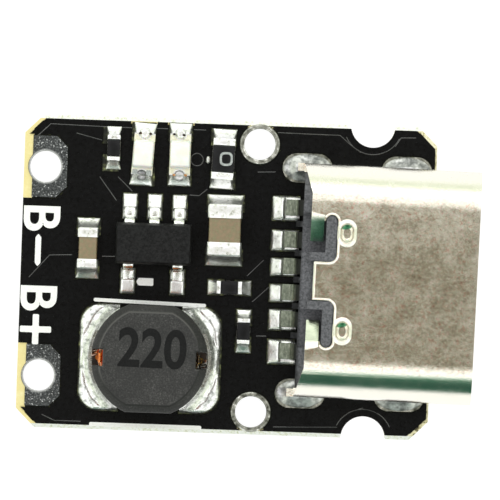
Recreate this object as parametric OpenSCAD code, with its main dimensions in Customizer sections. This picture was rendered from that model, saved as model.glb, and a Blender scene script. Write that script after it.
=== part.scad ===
// Lithium battery charger module: a small board with a USB-C power inlet, a charger chip,
// its drum inductor, ceramic capacitors, chip resistors and two indicator LEDs.
// Origin: centre of the board's underside. +X towards the inlet's mouth, +Z up from the board.

/* [Board] */
// Thickness of the board over both mask coats
board_t = 1.2; // [0.8:0.1:1.6]
// Size of the 45 degree corner chamfers
corner_chamfer = 0.72; // [0.3:0.02:0.9]
// Thickness of each solder mask coat and of each land
coat_t = 0.05; // [0.04:0.01:0.08]
// Width of the scored bevel along each long edge
score_w = 0.15; // [0.05:0.01:0.25]
// Depth of the scored bevel on each face
score_d = 0.3; // [0.1:0.05:0.35]
// Bare laminate between the mask and the short edges
mask_edge = 0.07; // [0.05:0.01:0.15]
// Gap between a land and the mask around it
mask_gap = 0.05; // [0.03:0.01:0.06]
// Board left on each side of the USB-C receptacle
usb_side = 1.53; // [1.4:0.01:2.5]
// Radius of the half-round screw notches
notch_r = 0.85; // [0.5:0.05:1]
// Distance of the screw notches behind the receptacle's front legs
notch_behind = 1.34; // [1.2:0.02:1.5]

/* [Layout] */
// Gap between the battery lands and the inductor's land
battery_gap = 0.67; // [0.3:0.01:1.5]
// Gap between the inductor's land and the lower resistor's lands
resistor_gap = 0.51; // [0.3:0.01:1.5]
// Gap between the lower resistor's lands and the receptacle's pin lands
pin_gap = 0.61; // [0.3:0.01:1.5]
// Gap between the middle resistor's lands and the receptacle's pin lands
middle_gap = 0.67; // [0.3:0.01:1.5]
// Distance of the inductor's land from the lower long edge
inductor_edge = 0.71; // [0.4:0.01:1.5]
// Gap between the inductor's land and the chip's lands
chip_gap = 0.38; // [0.2:0.01:1]
// Gap between the chip's lands and the left LED's land
led_gap = 0.27; // [0.15:0.01:1]
// Distance of the left LED's lands from the upper long edge
led_edge_left = 0.18; // [0.1:0.01:0.4]
// Distance of the right LED's lands from the upper long edge
led_edge_right = 0.15; // [0.1:0.01:0.4]
// Distance of the link's land from the upper long edge
link_edge = 0.31; // [0.15:0.01:0.5]
// Distance of the upper resistor's land from the upper long edge
upper_edge = 0.4; // [0.2:0.01:0.6]
// Gap between the link and the large capacitor, land to land
capacitor_gap = 0.18; // [0.12:0.01:0.4]
// Gap between the chip's body and the small capacitor's lands
small_gap = 0.6; // [0.3:0.01:1]
// Gap between the upper edge hole's land and the link's lands
hole_link_gap = 0.125; // [0.1:0.005:0.5]
// Gap between the link's lands and the right LED's lands
link_led_gap = 0.715; // [0.3:0.005:1]
// Gap between the two LEDs' lands
led_led_gap = 0.49; // [0.3:0.01:1]
// Gap between the left LED's lands and the upper resistor's lands
led_resistor_gap = 0.47; // [0.3:0.01:1]
// Gap between the upper edge hole's land and the rear leg's land
edge_hole_gap = 0.13; // [0.1:0.01:0.4]
// Gap between the large capacitor's lands and the middle resistor's lands
capacitor_resistor_gap = 0.5; // [0.3:0.01:0.8]
// Gap between the middle and the lower resistor's lands
resistors_gap = 0.49; // [0.3:0.01:0.8]
// How far the small capacitor's middle lies below the chip's
small_drop = 0.24; // [0:0.01:0.5]
// How far the large capacitor's middle lies beyond the link's
large_shift = 0.15; // [0:0.01:0.3]

/* [Battery and edge lands] */
// Length of a battery land along Y
battery_land_l = 2.37; // [1.8:0.01:2.6]
// Width of a battery land along X
battery_land_w = 1.34; // [1.3:0.01:1.5]
// Distance of the battery lands' outer side from the board's rear edge
battery_land_inset = 0.32; // [0.2:0.01:0.4]
// Distance of the battery holes from the long edges of the board
battery_edge = 2.0; // [1.6:0.05:2.4]
// Laminate left between the battery holes and the rear edge of the board
battery_hole_margin = 0.15; // [0.12:0.01:0.3]
// Diameter of the battery holes
battery_hole_d = 1.2; // [0.6:0.05:1.25]
// Corner chamfer of a battery land
battery_land_chamfer = 0.42; // [0.1:0.02:0.5]
// Laminate left between the edge holes' lands and the long edges
edge_hole_margin = 0.1; // [0.05:0.01:0.3]
// Diameter of the edge holes
edge_hole_d = 1.2; // [0.6:0.05:1.25]
// Width of the ring around each edge hole
edge_ring = 0.17; // [0.1:0.01:0.2]
// Thickness of the plating inside every hole and slot
plating_t = 0.07; // [0.05:0.01:0.08]

/* [USB-C receptacle] */
// Length of the shell from its rear side edge to its mouth
usb_l = 6.8; // [6.4:0.1:7.4]
// Width over the shell
usb_w = 8.94; // [8.7:0.02:9.1]
// Height over the shell
usb_h = 3.16; // [3.0:0.02:3.4]
// Thickness of the shell's sheet
shell_t = 0.3; // [0.2:0.02:0.34]
// Distance of the front legs' middle from the board's mouth edge
front_leg_inset = 1.14; // [1.05:0.01:1.6]
// Length of the pin lands behind the shell
pin_land_l = 1.08; // [0.8:0.02:1.4]
// Sideways place of the receptacle
usb_y = -0.04; // [-0.1:0.02:0.1]
// Turn of the receptacle away from square
usb_skew = 1.0; // [0:0.1:1.6]
// Distance of the rear legs' middle from the shell's rear side edge
leg_setback = 0.2; // [0.1:0.02:0.4]
// Distance of the front legs' middle from the shell's mouth
mouth_to_leg = 2.8; // [2.4:0.05:3.2]
// Width of each leg
leg_w = 0.9; // [0.6:0.05:1]
// Width of the seam where the folded sheet meets under the shell
seam_gap = 0.06; // [0.05:0.01:0.1]
// Length of the housing's base inside the shell
base_l = 1.5; // [1.45:0.05:1.8]
// Setback of the tongue's tip from the mouth
tongue_setback = 1.05; // [0.8:0.05:1.4]
// Gap between the tongue and the shell's side walls
tongue_side = 0.825; // [0.7:0.005:1]
// Thickness of the tongue
tongue_t = 0.7; // [0.66:0.02:0.8]
// Thickness of the steel mid plate
plate_t = 0.15; // [0.1:0.01:0.2]
// Thickness of the contact strip
contact_t = 0.15; // [0.12:0.01:0.16]
// Width of the contact feet
contact_w = 0.62; // [0.4:0.02:0.66]
// Length of the contact feet behind the shell
contact_foot = 0.62; // [0.5:0.02:0.8]
// Clearance between the housing and the shell
shell_clearance = 0.04; // [0.03:0.01:0.06]

/* [Inductor] */
// Diameter of the ferrite drum
drum_d = 4.46; // [4:0.02:4.7]
// Width across the drum's two flats
drum_flat = 4.1; // [3.8:0.02:4.3]
// Height of the inductor above the board
drum_h = 3.2; // [2.8:0.1:4]
// Thickness of the upper flange
flange_t = 0.75; // [0.6:0.05:0.9]
// Thickness of the lower flange
foot_flange_t = 0.7; // [0.6:0.05:0.9]
// Diameter of the drum's post
post_d = 1.9; // [1.5:0.05:2.2]
// Diameter of the winding wire
wire_d = 0.25; // [0.2:0.01:0.35]
// Bevel around the top of the drum
drum_bevel = 0.28; // [0.1:0.02:0.35]
// Width of the wire notches in the drum's sides
wire_notch_w = 0.65; // [0.5:0.01:0.8]
// Depth of the wire notches
wire_notch_d = 0.45; // [0.35:0.01:0.55]
// Thickness of the inductor's terminals
drum_terminal_t = 0.12; // [0.08:0.01:0.2]

/* [Charger chip] */
// Length of the moulded body
chip_l = 2.9; // [2.7:0.02:3.1]
// Width of the moulded body
chip_w = 1.6; // [1.5:0.02:1.7]
// Height of the package above the board
chip_h = 1.1; // [0.9:0.05:1.4]
// Span over the lead tips
chip_span = 2.8; // [2.6:0.02:3]
// Spacing of the leads
lead_pitch = 0.95; // [0.9:0.01:1]
// Width of a lead
lead_w = 0.4; // [0.3:0.01:0.5]
// Thickness of a lead
lead_t = 0.13; // [0.1:0.01:0.16]
// Gap under the moulded body
chip_standoff = 0.08; // [0.05:0.01:0.12]

/* [Chip parts] */
// Length of the small capacitor
cap_small_l = 1.6; // [1.4:0.05:2]
// Width of the small capacitor
cap_small_w = 0.8; // [0.7:0.05:1]
// Height of the small capacitor
cap_small_h = 0.8; // [0.6:0.05:1]
// Length of the large capacitor
cap_large_l = 2.0; // [1.6:0.05:2.4]
// Width of the large capacitor
cap_large_w = 1.32; // [1.1:0.02:1.6]
// Height of the large capacitor
cap_large_h = 1.25; // [0.8:0.05:1.4]
// Length of the zero-ohm link
link_l = 1.58; // [1.4:0.02:1.9]
// Width of the zero-ohm link
link_w = 0.85; // [0.7:0.01:1]
// Height of the zero-ohm link
link_h = 0.45; // [0.4:0.01:0.6]
// Turn of the zero-ohm link away from square
link_turn = -2; // [-3:0.5:3]
// Length of a small resistor
res_l = 1.0; // [0.9:0.05:1.2]
// Width of a small resistor
res_w = 0.5; // [0.4:0.02:0.6]
// Height of a small resistor
res_h = 0.35; // [0.3:0.01:0.4]
// Thickness of the end caps of every chip part
cap_wall = 0.05; // [0.04:0.005:0.07]

/* [LEDs] */
// Length of an LED
led_l = 1.6; // [1.4:0.05:1.9]
// Width of an LED
led_w = 0.8; // [0.7:0.02:1]
// Thickness of an LED's base
led_base_h = 0.3; // [0.2:0.02:0.4]
// Height of an LED's lens above its base
led_lens_h = 0.32; // [0.25:0.02:0.5]
// Turn of the left LED away from square
led_turn = -3; // [-4:0.5:4]

/* [Hidden] */
$fn = 48;
eps = 0.01;
top_z = board_t;

// Size of each kind of chip part, [length, width]
cap_small = [cap_small_l, cap_small_w];
cap_large = [cap_large_l, cap_large_w];
link_size = [link_l, link_w];
res_size = [res_l, res_w];
led_size = [led_l, led_w];

// Lands: how far a part's land runs past its end and under it, and how much wider it is
land_past = 0.38;
land_past_small = 0.35;
land_past_led = 0.42;
land_under = 0.3;
land_wider = 0.12;
chip_land_l = 1.02;
chip_land_w = 0.6;
chip_land_past = 0.54;
inductor_land_past = 0.505;
inductor_land_wider = 0.04;
inductor_land_gap = 2.3;
inductor_land_r = 0.8;
pin_land_w = [0.98, 0.84, 0.72, 0.72, 0.84, 0.98];
pin_land_setback = 0.04;
pin_y = [2.75, 1.52, 0.5, -0.5, -1.52, -2.75];
slot_room = 0.18;
slot_land_end = 0.33;
slot_land_side = 0.23;
slot_l = leg_w + 2 * slot_room;
slot_w = shell_t + 2 * slot_room;
slot_land_l = slot_l + 2 * slot_land_end;
slot_land_w = slot_w + 2 * slot_land_side;
inductor_land = [drum_d + 2 * inductor_land_past, drum_flat + inductor_land_wider];
led_opening_w = led_w + land_wider + 2 * mask_gap - eps;
left_turn = 90 + led_turn;
right_turn = 90;
link_tilt = 90 + link_turn;

// Half the length of the lands of each part, and half their width
chip_reach = chip_span / 2 + chip_land_past;
led_reach = led_l / 2 + land_past_led;
link_reach = link_l / 2 + land_past;
cap_small_reach = cap_small_l / 2 + land_past;
cap_large_reach = cap_large_l / 2 + land_past;
res_reach = res_l / 2 + land_past_small;
led_side = (led_w + land_wider) / 2;
link_side = (link_w + land_wider) / 2;
cap_small_side = (cap_small_w + land_wider) / 2;
res_side = (res_w + land_wider) / 2;

// Distance between the receptacle's rear and front legs
leg_pitch = usb_l - leg_setback - mouth_to_leg;

// The board is as long as its lower row, and as wide as its tallest column or the receptacle
lower_row = battery_land_inset + battery_land_w + battery_gap + inductor_land[0]
            + resistor_gap + 2 * res_side + pin_gap + pin_land_l + pin_land_setback;
board_l = lower_row + leg_setback + leg_pitch + front_leg_inset;
column = inductor_edge + inductor_land[1] + chip_gap + 2 * chip_reach + led_gap
         + 2 * led_reach + led_edge_left;
board_w = max(column, usb_w + 2 * usb_side);
rear_x = -board_l / 2;
mouth_x = board_l / 2;
upper_y = board_w / 2;

// Place of the receptacle: middle of its four legs
usb_at = [mouth_x - front_leg_inset - leg_pitch / 2, usb_y];
leg_mid = leg_setback + leg_pitch / 2;
leg_y = usb_w / 2 - shell_t / 2;
leg_tip_z = coat_t * 2 - board_t;
pin_land_x1 = usb_at[0] - leg_mid - pin_land_setback;
pin_land_x0 = pin_land_x1 - pin_land_l;

// Places of the parts on the board, [x, y]
battery_hole_at = [rear_x + battery_hole_margin + plating_t + battery_hole_d / 2,
                   upper_y - battery_edge];
edge_hole_at = [usb_at[0] - leg_pitch / 2 - slot_land_l / 2 - edge_hole_gap - edge_ring - edge_hole_d / 2,
                upper_y - edge_hole_margin - edge_ring - edge_hole_d / 2];
inductor_at = [rear_x + battery_land_inset + battery_land_w + battery_gap + inductor_land[0] / 2,
               -upper_y + inductor_edge + inductor_land[1] / 2];
chip_at = [inductor_at[0], inductor_at[1] + inductor_land[1] / 2 + chip_gap + chip_reach];
cap_small_at = [chip_at[0] - chip_l / 2 - small_gap - cap_small_side, chip_at[1] - small_drop];
link_at = [edge_hole_at[0] - edge_hole_d / 2 - edge_ring - hole_link_gap - link_side,
           upper_y - link_edge - link_reach];
led_right_at = [link_at[0] - link_side - link_led_gap - led_side, upper_y - led_edge_right - led_reach];
led_left_at = [led_right_at[0] - 2 * led_side - led_led_gap, upper_y - led_edge_left - led_reach];
res_upper_land_at = [led_left_at[0] - led_side - led_resistor_gap - res_side,
                     upper_y - upper_edge - res_reach];
res_upper_slip = [0.1, 0.05];
res_upper_at = res_upper_land_at + res_upper_slip;
cap_large_at = [link_at[0] + large_shift, link_at[1] - link_reach - capacitor_gap - cap_large_reach];
res_middle_at = [pin_land_x0 - middle_gap - res_reach,
                 cap_large_at[1] - cap_large_reach - capacitor_resistor_gap - res_side];
res_lower_at = [pin_land_x0 - pin_gap - res_side,
                res_middle_at[1] - res_side - resistors_gap - res_reach];

// Receptacle details, in the receptacle's own frame
tongue_w = usb_w - 2 * shell_t - 2 * tongue_side;
tongue_tip = usb_l - tongue_setback;
tongue_root_l = 0.9;
tongue_root_t = 1.3;
tongue_root_side = 0.15;
rear_notch_side = 0.87;
rear_notch_y = usb_w / 2 - rear_notch_side;
rear_notch_x = 0.36;
rear_notch_r = 0.3;
roof_recess = 0.15;
floor_rear_x = 1.3;
slot_arm_side = 1.93;
slot_arm_y = usb_w / 2 - slot_arm_side;
slot_arm_x = [0.91, 1.4];
slot_arm_r = (slot_arm_x[1] - slot_arm_x[0]) / 2;
slot_corner_r = 0.3;
slot_leg_w = 0.36;
tab_l = 1.04;
tab_free_y = slot_arm_y - tab_l;
slot_leg_l = 0.77;
slot_in_y = tab_free_y - slot_leg_l;
tab_gap = 0.05;
tab_drop = 0.45;
dimple_side = 0.67;
dimple_at = [1.75, slot_arm_y - dimple_side];
dimple_r = 0.35;
dimple_depth = 0.12;
dimple_long = 0.2;
leg_window_room = 0.15;
leg_window = leg_w + 2 * leg_window_room;
contact_jog_x = [0.45, 0.95];
blade_w = 0.36;
blade_setback = 0.3;
blade_proud = 0.02;
blade_y = [2.7, 1.3, 0.8, -0.8, -1.3, -2.7];
blade_up = [true, true, false, true, false, false];
bend_r = 0.1;
latch_setback = 1.85;
latch_at = tongue_tip - latch_setback;
latch_l = 1.3;
latch_d = 0.25;
plate_setback = 0.15;
plate_rear = 0.3;
plate_hole_r = 0.3;
plate_hole_x = 2.1;
plate_hole_y = [-1.9, 0, 1.9];
housing_rear = 0.05;
housing_lift = 0.04;
comb_w = 0.22;
comb_l = 0.25;
rib_setback = 0.02;
tab_room = 0.1;
tip_chamfer = 0.14;

// Inductor details
winding_z0 = drum_terminal_t + foot_flange_t;
winding_room = drum_h - flange_t - winding_z0;
turns = floor(winding_room / wire_d);
winding_r = drum_d / 2 - wire_notch_d - wire_d / 2;
wire_end_gap = 0.04;
wire_end_r = drum_d / 2 - wire_notch_d + wire_d / 2 + wire_end_gap;
wire_lead_r = wire_d * 0.45;
wire_tail_rise = wire_d * 0.3;
turn_gap = 0.01;
terminal_lip_share = 0.8;
terminal_lip_w_share = 0.5;
terminal_narrower = 0.6;
terminal_inset = 0.1;

// Chip details
lead_share = 0.48;
lead_z = chip_h * lead_share;
lead_foot = 0.4;
lead_bend_r = 0.07;
lead_in_body = 0.25;
body_draft = 0.09;
body_end_draft = 0.05;

// Chip parts
band_share = 0.24;
large_band = 0.27;
resistor_band_share = 0.175;
ceramic_edge = 0.04;
end_edge = 0.06;
coat_rise = 0.03;
coat_lean = 0.01;
castellation_r = 0.2;
lens_draft = 0.12;
lens_side_draft = 0.02;
lens_narrower = 0.02;
lens_end_gap = 0.03;
lens_l = led_l - 2 * (castellation_r + lens_end_gap);
die_size = [0.28, 0.24, 0.12];

// Solder: kept this far inside its land, toe height of a fillet, and heights of the mounds
solder_inset = 0.02;
fillet_toe = 0.04;
fillet_wider = 0.04;
fillet_r_share = 1.1;
pin_solder_h = 0.25;
leg_solder_h = 0.35;
leg_solder_inset = 0.03;
inductor_solder_h = 0.5;
inductor_solder_inset = 0.03;
chip_solder_h = 0.2;
pin_solder_taper = [0.22, 0.12];
leg_solder_taper = [0.25, 0.25];
inductor_solder_taper = [0.35, 0.2];
chip_solder_taper = [0.12, 0.2];
// Share of a part's height that its solder climbs
small_climb = 0.55;
large_climb = 0.45;
resistor_climb = 0.8;
led_climb = 0.85;

module round_rect(l, w, r) {
    square([l - 2 * r, w], center = true);
    square([l, w - 2 * r], center = true);
    for (x = [-1, 1], y = [-1, 1])
        translate([x * (l / 2 - r), y * (w / 2 - r)]) circle(r);
}

module oval(l, w) {
    square([l - w, w], center = true);
    for (x = [-1, 1])
        translate([x * (l - w) / 2, 0]) circle(w / 2);
}

// Box with small chamfers on all its edges, standing on z = 0
module chamfer_box(l, w, h, c) {
    intersection() {
        linear_extrude(h) chamfer_rect(l, w, c);
        translate([0, w / 2, h / 2]) rotate([90, 0, 0]) linear_extrude(w) chamfer_rect(l, h, c);
        translate([-l / 2, 0, h / 2]) rotate([90, 0, 90]) linear_extrude(l) chamfer_rect(w, h, c);
    }
}

module chamfer_rect(l, w, c) {
    polygon([[-l / 2 + c, -w / 2], [l / 2 - c, -w / 2], [l / 2, -w / 2 + c], [l / 2, w / 2 - c],
             [l / 2 - c, w / 2], [-l / 2 + c, w / 2], [-l / 2, w / 2 - c], [-l / 2, -w / 2 + c]]);
}

module trapezoid(l, h, inset) {
    polygon([[-l / 2, 0], [l / 2, 0], [l / 2 - inset, h], [-l / 2 + inset, h]]);
}

// Block whose four sides lean inwards, standing on z = 0
module tapered_block(l, w, h, inset_l, inset_w) {
    intersection() {
        translate([0, w / 2, 0]) rotate([90, 0, 0]) linear_extrude(w) trapezoid(l, h, inset_l);
        translate([-l / 2, 0, 0]) rotate([90, 0, 90]) linear_extrude(l) trapezoid(w, h, inset_w);
    }
}

// Quarter of a bent strip's section, of inner radius r, turned by a
module elbow(r, t, a) {
    rotate(a) intersection() {
        difference() {
            circle(r + t);
            circle(r);
        }
        square(r + t + eps);
    }
}

// Section of a strip that runs along a foot, rises and runs on at height z1.
// foot_x is the foot's tip, rise_x the near side of the riser, end_x the far end.
module step_strip(foot_x, rise_x, end_x, z1, t, r) {
    translate([foot_x, 0]) square([rise_x - r - foot_x, t]);
    translate([rise_x - r, t + r]) elbow(r, t, -90);
    translate([rise_x, t + r]) square([t, z1 - t - 2 * r]);
    translate([rise_x + t + r, z1 - r]) elbow(r, t, 90);
    translate([rise_x + t + r, z1]) square([end_x - rise_x - t - r, t]);
}

// Fillet of solder against a wall at x = 0: l along the land, h up the wall
module solder_section(l, h, toe) {
    span = norm([l - toe, h - toe]);
    r = span * fillet_r_share;
    reach = sqrt(r * r - span * span / 4) / span;
    centre = [(l + toe) / 2 + (h - toe) * reach, (h + toe) / 2 + (l - toe) * reach];
    difference() {
        polygon([[0, 0], [l, 0], [l, toe], [toe, h], [0, h]]);
        translate(centre) circle(r);
    }
}

// Board

module board_outline(inset_x, inset_y) {
    l = board_l - 2 * inset_x;
    w = board_w - 2 * inset_y;
    difference() {
        chamfer_rect(l, w, corner_chamfer);
        for (s = [-1, 1])
            translate([mouth_x - front_leg_inset - notch_behind, s * upper_y]) circle(notch_r);
    }
}

module battery_hole_places() {
    for (s = [-1, 1])
        translate([battery_hole_at[0], s * battery_hole_at[1]]) children();
}

module edge_hole_places() {
    for (s = [-1, 1])
        translate([edge_hole_at[0], s * edge_hole_at[1]]) children();
}

module leg_slot_places() {
    for (x = [-1, 1], s = [-1, 1])
        translate([usb_at[0] + x * leg_pitch / 2, usb_at[1] + s * leg_y]) children();
}

module drilled_holes() {
    battery_hole_places() circle(battery_hole_d / 2 + plating_t);
    edge_hole_places() circle(edge_hole_d / 2 + plating_t);
    leg_slot_places() oval(slot_l + 2 * plating_t, slot_w + 2 * plating_t);
}

module laminate() {
    core = board_t - 2 * coat_t;
    color("#d9cf96")
        difference() {
            translate([0, 0, coat_t]) linear_extrude(core) difference() {
                board_outline(0, 0);
                drilled_holes();
            }
            for (s = [-1, 1], f = [-1, 1])
                translate([0, s * upper_y, board_t / 2 + f * core / 2])
                    rotate([90, 0, 90])
                        linear_extrude(2 * board_l, center = true)
                            polygon([[-s * score_w, 0], [s * score_w, 0],
                                     [s * score_w, -f * score_d], [0, -f * score_d]]);
        }
}

// Lands and the openings that the mask leaves for them; grow widens them

module battery_land_shape(s, grow) {
    left = rear_x + battery_land_inset - grow;
    right = rear_x + battery_land_inset + battery_land_w + grow;
    half = battery_land_l / 2 + grow;
    c = battery_land_chamfer;
    translate([0, s * battery_hole_at[1]])
        polygon([[left, -half], [right - c, -half], [right, -half + c], [right, half - c],
                 [right - c, half], [left, half]]);
}

module battery_opening(s) {
    battery_land_shape(s, mask_gap);
    translate([rear_x - eps, s * battery_hole_at[1] - battery_land_l / 2 - mask_gap])
        square([battery_land_inset + eps, battery_land_l + 2 * mask_gap]);
}

module edge_land_shape(s, grow) {
    translate([edge_hole_at[0], s * edge_hole_at[1]]) circle(edge_hole_d / 2 + edge_ring + grow);
}

module leg_land_shape(grow) {
    leg_slot_places() oval(slot_land_l + 2 * grow, slot_land_w + 2 * grow);
}

// Lands of a part with one land at each end, along X
module end_lands(size, past, grow) {
    l = past + land_under;
    for (s = [-1, 1])
        translate([s * (size[0] / 2 + past - l / 2), 0])
            square([l + 2 * grow, size[1] + land_wider + 2 * grow], center = true);
}

module chip_lands(grow) {
    y = chip_span / 2 + chip_land_past - chip_land_l / 2;
    translate(chip_at) for (i = [-1:1], s = [-1, 1])
        if (s > 0 || i != 0)
            translate([i * lead_pitch, s * y])
                square([chip_land_w + 2 * grow, chip_land_l + 2 * grow], center = true);
}

module inductor_lands(grow) {
    translate(inductor_at) difference() {
        round_rect(inductor_land[0] + 2 * grow, inductor_land[1] + 2 * grow, inductor_land_r);
        square([inductor_land_gap - 2 * grow, 2 * inductor_land[1]], center = true);
    }
}

module pin_lands(grow) {
    for (i = [0:5])
        translate([pin_land_x0 - grow, usb_y + pin_y[i] - pin_land_w[i] / 2 - grow])
            square([pin_land_l + 2 * grow, pin_land_w[i] + 2 * grow]);
}

module at_part(place, turn = 90) {
    translate(place) rotate(turn) children();
}

module component_land_shapes(grow) {
    chip_lands(grow);
    inductor_lands(grow);
    pin_lands(grow);
    at_part(cap_small_at) end_lands(cap_small, land_past, grow);
    at_part(cap_large_at) end_lands(cap_large, land_past, grow);
    at_part(link_at) end_lands(link_size, land_past, grow);
    at_part(res_upper_land_at) end_lands(res_size, land_past_small, grow);
    at_part(res_middle_at, 0) end_lands(res_size, land_past_small, grow);
    at_part(res_lower_at) end_lands(res_size, land_past_small, grow);
    at_part(led_left_at) end_lands(led_size, land_past_led, grow);
    at_part(led_right_at) end_lands(led_size, land_past_led, grow);
}

module all_land_openings(upper) {
    for (s = [-1, 1]) {
        battery_opening(s);
        edge_land_shape(s, mask_gap);
    }
    leg_land_shape(mask_gap);
    if (upper) {
        component_land_shapes(mask_gap);
        // the mask stays open from the LEDs' outer lands to the edge of the board
        for (at = [led_left_at, led_right_at])
            translate([at[0] - led_opening_w / 2, at[1] + led_l / 2])
                square([led_opening_w, board_w]);
    }
}

module mask_coat(upper) {
    color("#1c1c1e")
        linear_extrude(coat_t) difference() {
            board_outline(mask_edge, score_w);
            all_land_openings(upper);
        }
}

module solder_mask_top() {
    translate([0, 0, top_z - coat_t]) mask_coat(true);
}

module solder_mask_bottom() {
    mask_coat(false);
}

// A plated land on both faces with its plated hole; the children are the land, the hole and
// the drilled hole
module plated_land() {
    for (z = [0, board_t - coat_t])
        translate([0, 0, z]) linear_extrude(coat_t) difference() {
            children(0);
            children(1);
        }
    linear_extrude(board_t) difference() {
        children(2);
        children(1);
    }
}

module battery_land(s) {
    place = [battery_hole_at[0], s * battery_hole_at[1]];
    color("#7b7d80")
        plated_land() {
            battery_land_shape(s, 0);
            translate(place) circle(battery_hole_d / 2);
            translate(place) circle(battery_hole_d / 2 + plating_t);
        }
}

module edge_land(s) {
    place = [edge_hole_at[0], s * edge_hole_at[1]];
    color("#d5d6d2")
        plated_land() {
            edge_land_shape(s, 0);
            translate(place) circle(edge_hole_d / 2);
            translate(place) circle(edge_hole_d / 2 + plating_t);
        }
}

module leg_slot_lands() {
    color("#d5d6d2")
        plated_land() {
            leg_land_shape(0);
            leg_slot_places() oval(slot_l, slot_w);
            leg_slot_places() oval(slot_l + 2 * plating_t, slot_w + 2 * plating_t);
        }
}

module component_lands() {
    color("#c9cac6")
        translate([0, 0, top_z - coat_t]) linear_extrude(coat_t) component_land_shapes(0);
}

// USB-C receptacle: x from the shell's rear side edge to the mouth, z = 0 on the board

module usb_place() {
    translate([usb_at[0], usb_at[1], top_z]) rotate(-usb_skew) translate([-leg_mid, 0, 0]) children();
}

module along_x(x0, x1) {
    translate([x0, 0, 0]) rotate([90, 0, 90]) linear_extrude(x1 - x0) children();
}

// Section of the shell or of its cavity, inset from the outside
module shell_section(inset) {
    translate([0, usb_h / 2]) oval(usb_w - 2 * inset, usb_h - 2 * inset);
}

// Opening in the shell's roof for one latch tab and its rib
module tab_opening() {
    r = slot_corner_r;
    difference() {
        translate([0, slot_in_y]) square([slot_arm_x[1], slot_arm_y - slot_in_y - slot_arm_r]);
        translate([slot_arm_x[1] - r, slot_in_y]) difference() {
            square(r + eps);
            translate([0, r]) circle(r);
        }
        translate([0, tab_free_y]) square([slot_arm_x[0] - tab_gap, slot_arm_y]);
    }
    translate([slot_arm_x[1] - slot_arm_r, slot_arm_y - slot_arm_r]) circle(slot_arm_r);
}

// Rib of the housing that stands in that opening
module rib_shape() {
    c = shell_clearance;
    corner = slot_corner_r - c;
    arm_w = 2 * (slot_arm_r - c);
    difference() {
        union() {
            translate([rear_notch_x, slot_in_y + c]) square([slot_arm_x[1] - c - rear_notch_x, slot_leg_w - c]);
            translate([slot_arm_x[0] + c, slot_in_y + c])
                square([arm_w, slot_arm_y - slot_arm_r - slot_in_y - c]);
            translate([slot_arm_x[1] - slot_arm_r, slot_arm_y - slot_arm_r]) circle(slot_arm_r - c);
        }
        translate([slot_arm_x[1] - c - corner, slot_in_y + c]) difference() {
            square(corner + eps);
            translate([0, corner]) circle(corner);
        }
    }
}

// Capsule that forms a dimple, lying across the shell
module dimple_form(grow) {
    for (s = [-1, 1])
        translate([dimple_at[0], s * dimple_at[1], usb_h - dimple_depth + dimple_r])
            rotate([90, 0, 0]) {
                cylinder(h = dimple_long, r = dimple_r + grow, center = true);
                for (e = [-1, 1])
                    translate([0, 0, e * dimple_long / 2]) sphere(dimple_r + grow);
            }
}

// Latch tab: the strip behind the slot's arm, bent down towards its free end
module latch_tab(s) {
    x0 = rear_notch_x;
    x1 = slot_arm_x[0] - tab_gap;
    root = slot_arm_y;
    z = usb_h;
    along_x(x0, x1)
        polygon([for (p = [[root, z], [root, z - shell_t], [tab_free_y, z - shell_t - tab_drop],
                           [tab_free_y, z - tab_drop]]) [s * p[0], p[1]]]);
}

module shell_leg(x, s, grow = 0) {
    translate([x - leg_w / 2 - grow, s * leg_y - shell_t / 2 - grow, leg_tip_z])
        cube([leg_w + 2 * grow, shell_t + 2 * grow, usb_h / 2 - leg_tip_z]);
}

module shell_legs(grow = 0) {
    for (x = [leg_setback, leg_setback + leg_pitch], s = [-1, 1])
        shell_leg(x, s, grow);
}

module usb_shell() {
    above = usb_h - 2 * shell_t;
    color("#b4ab98") usb_place() {
        difference() {
            along_x(0, usb_l) shell_section(0);
            difference() {
                along_x(-shell_t, usb_l + shell_t) shell_section(shell_t);
                dimple_form(shell_t);
            }
            // rear edge of the roof
            translate([0, 0, usb_h / 2]) linear_extrude(usb_h)
                translate([rear_notch_x - usb_h / 2, 0]) round_rect(usb_h, 2 * rear_notch_y, rear_notch_r);
            // the roof sits back further between the latch tabs
            translate([-shell_t, -slot_in_y - eps, above])
                cube([shell_t + rear_notch_x + roof_recess, 2 * (slot_in_y + eps), usb_h]);
            // rear edge of the floor
            translate([-shell_t, -rear_notch_y, -shell_t])
                cube([shell_t + floor_rear_x, 2 * rear_notch_y, shell_t + usb_h / 2]);
            // roof openings at the latch tabs
            translate([0, 0, above]) linear_extrude(usb_h)
                for (s = [0, 1]) mirror([0, s, 0]) tab_opening();
            for (s = [0, 1]) mirror([0, s, 0])
                translate([-shell_t, tab_free_y, above])
                    cube([shell_t + slot_arm_x[0] - tab_gap, tab_l, usb_h]);
            dimple_form(0);
            // windows from which the legs are bent
            for (x = [leg_setback, leg_setback + leg_pitch], s = [-1, 1])
                translate([x - leg_window / 2, s * (usb_w / 2) - usb_h / 2, -shell_t])
                    cube([leg_window, usb_h, shell_t + usb_h / 2]);
            // seam of the folded sheet
            translate([-shell_t, -seam_gap / 2, -shell_t])
                cube([usb_l + 2 * shell_t, seam_gap, shell_t + usb_h / 2]);
        }
        for (s = [-1, 1]) latch_tab(s);
        shell_legs();
    }
}

module contact(i) {
    w = contact_w;
    z1 = contact_z(i);
    y_low = min(pin_y[i], blade_y[i]) - blade_w / 2;
    y_high = max(pin_y[i], blade_y[i]) + blade_w / 2;
    jog = contact_jog_x;
    translate([0, pin_y[i] + w / 2, 0]) rotate([90, 0, 0]) linear_extrude(w)
        step_strip(-contact_foot, -contact_t, jog[1], z1, contact_t, bend_r);
    translate([jog[0], y_low, z1]) cube([jog[1] - jog[0], y_high - y_low, contact_t]);
    translate([jog[0], blade_y[i] - blade_w / 2, z1])
        cube([tongue_tip - blade_setback - jog[0], blade_w, contact_t]);
}

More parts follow.
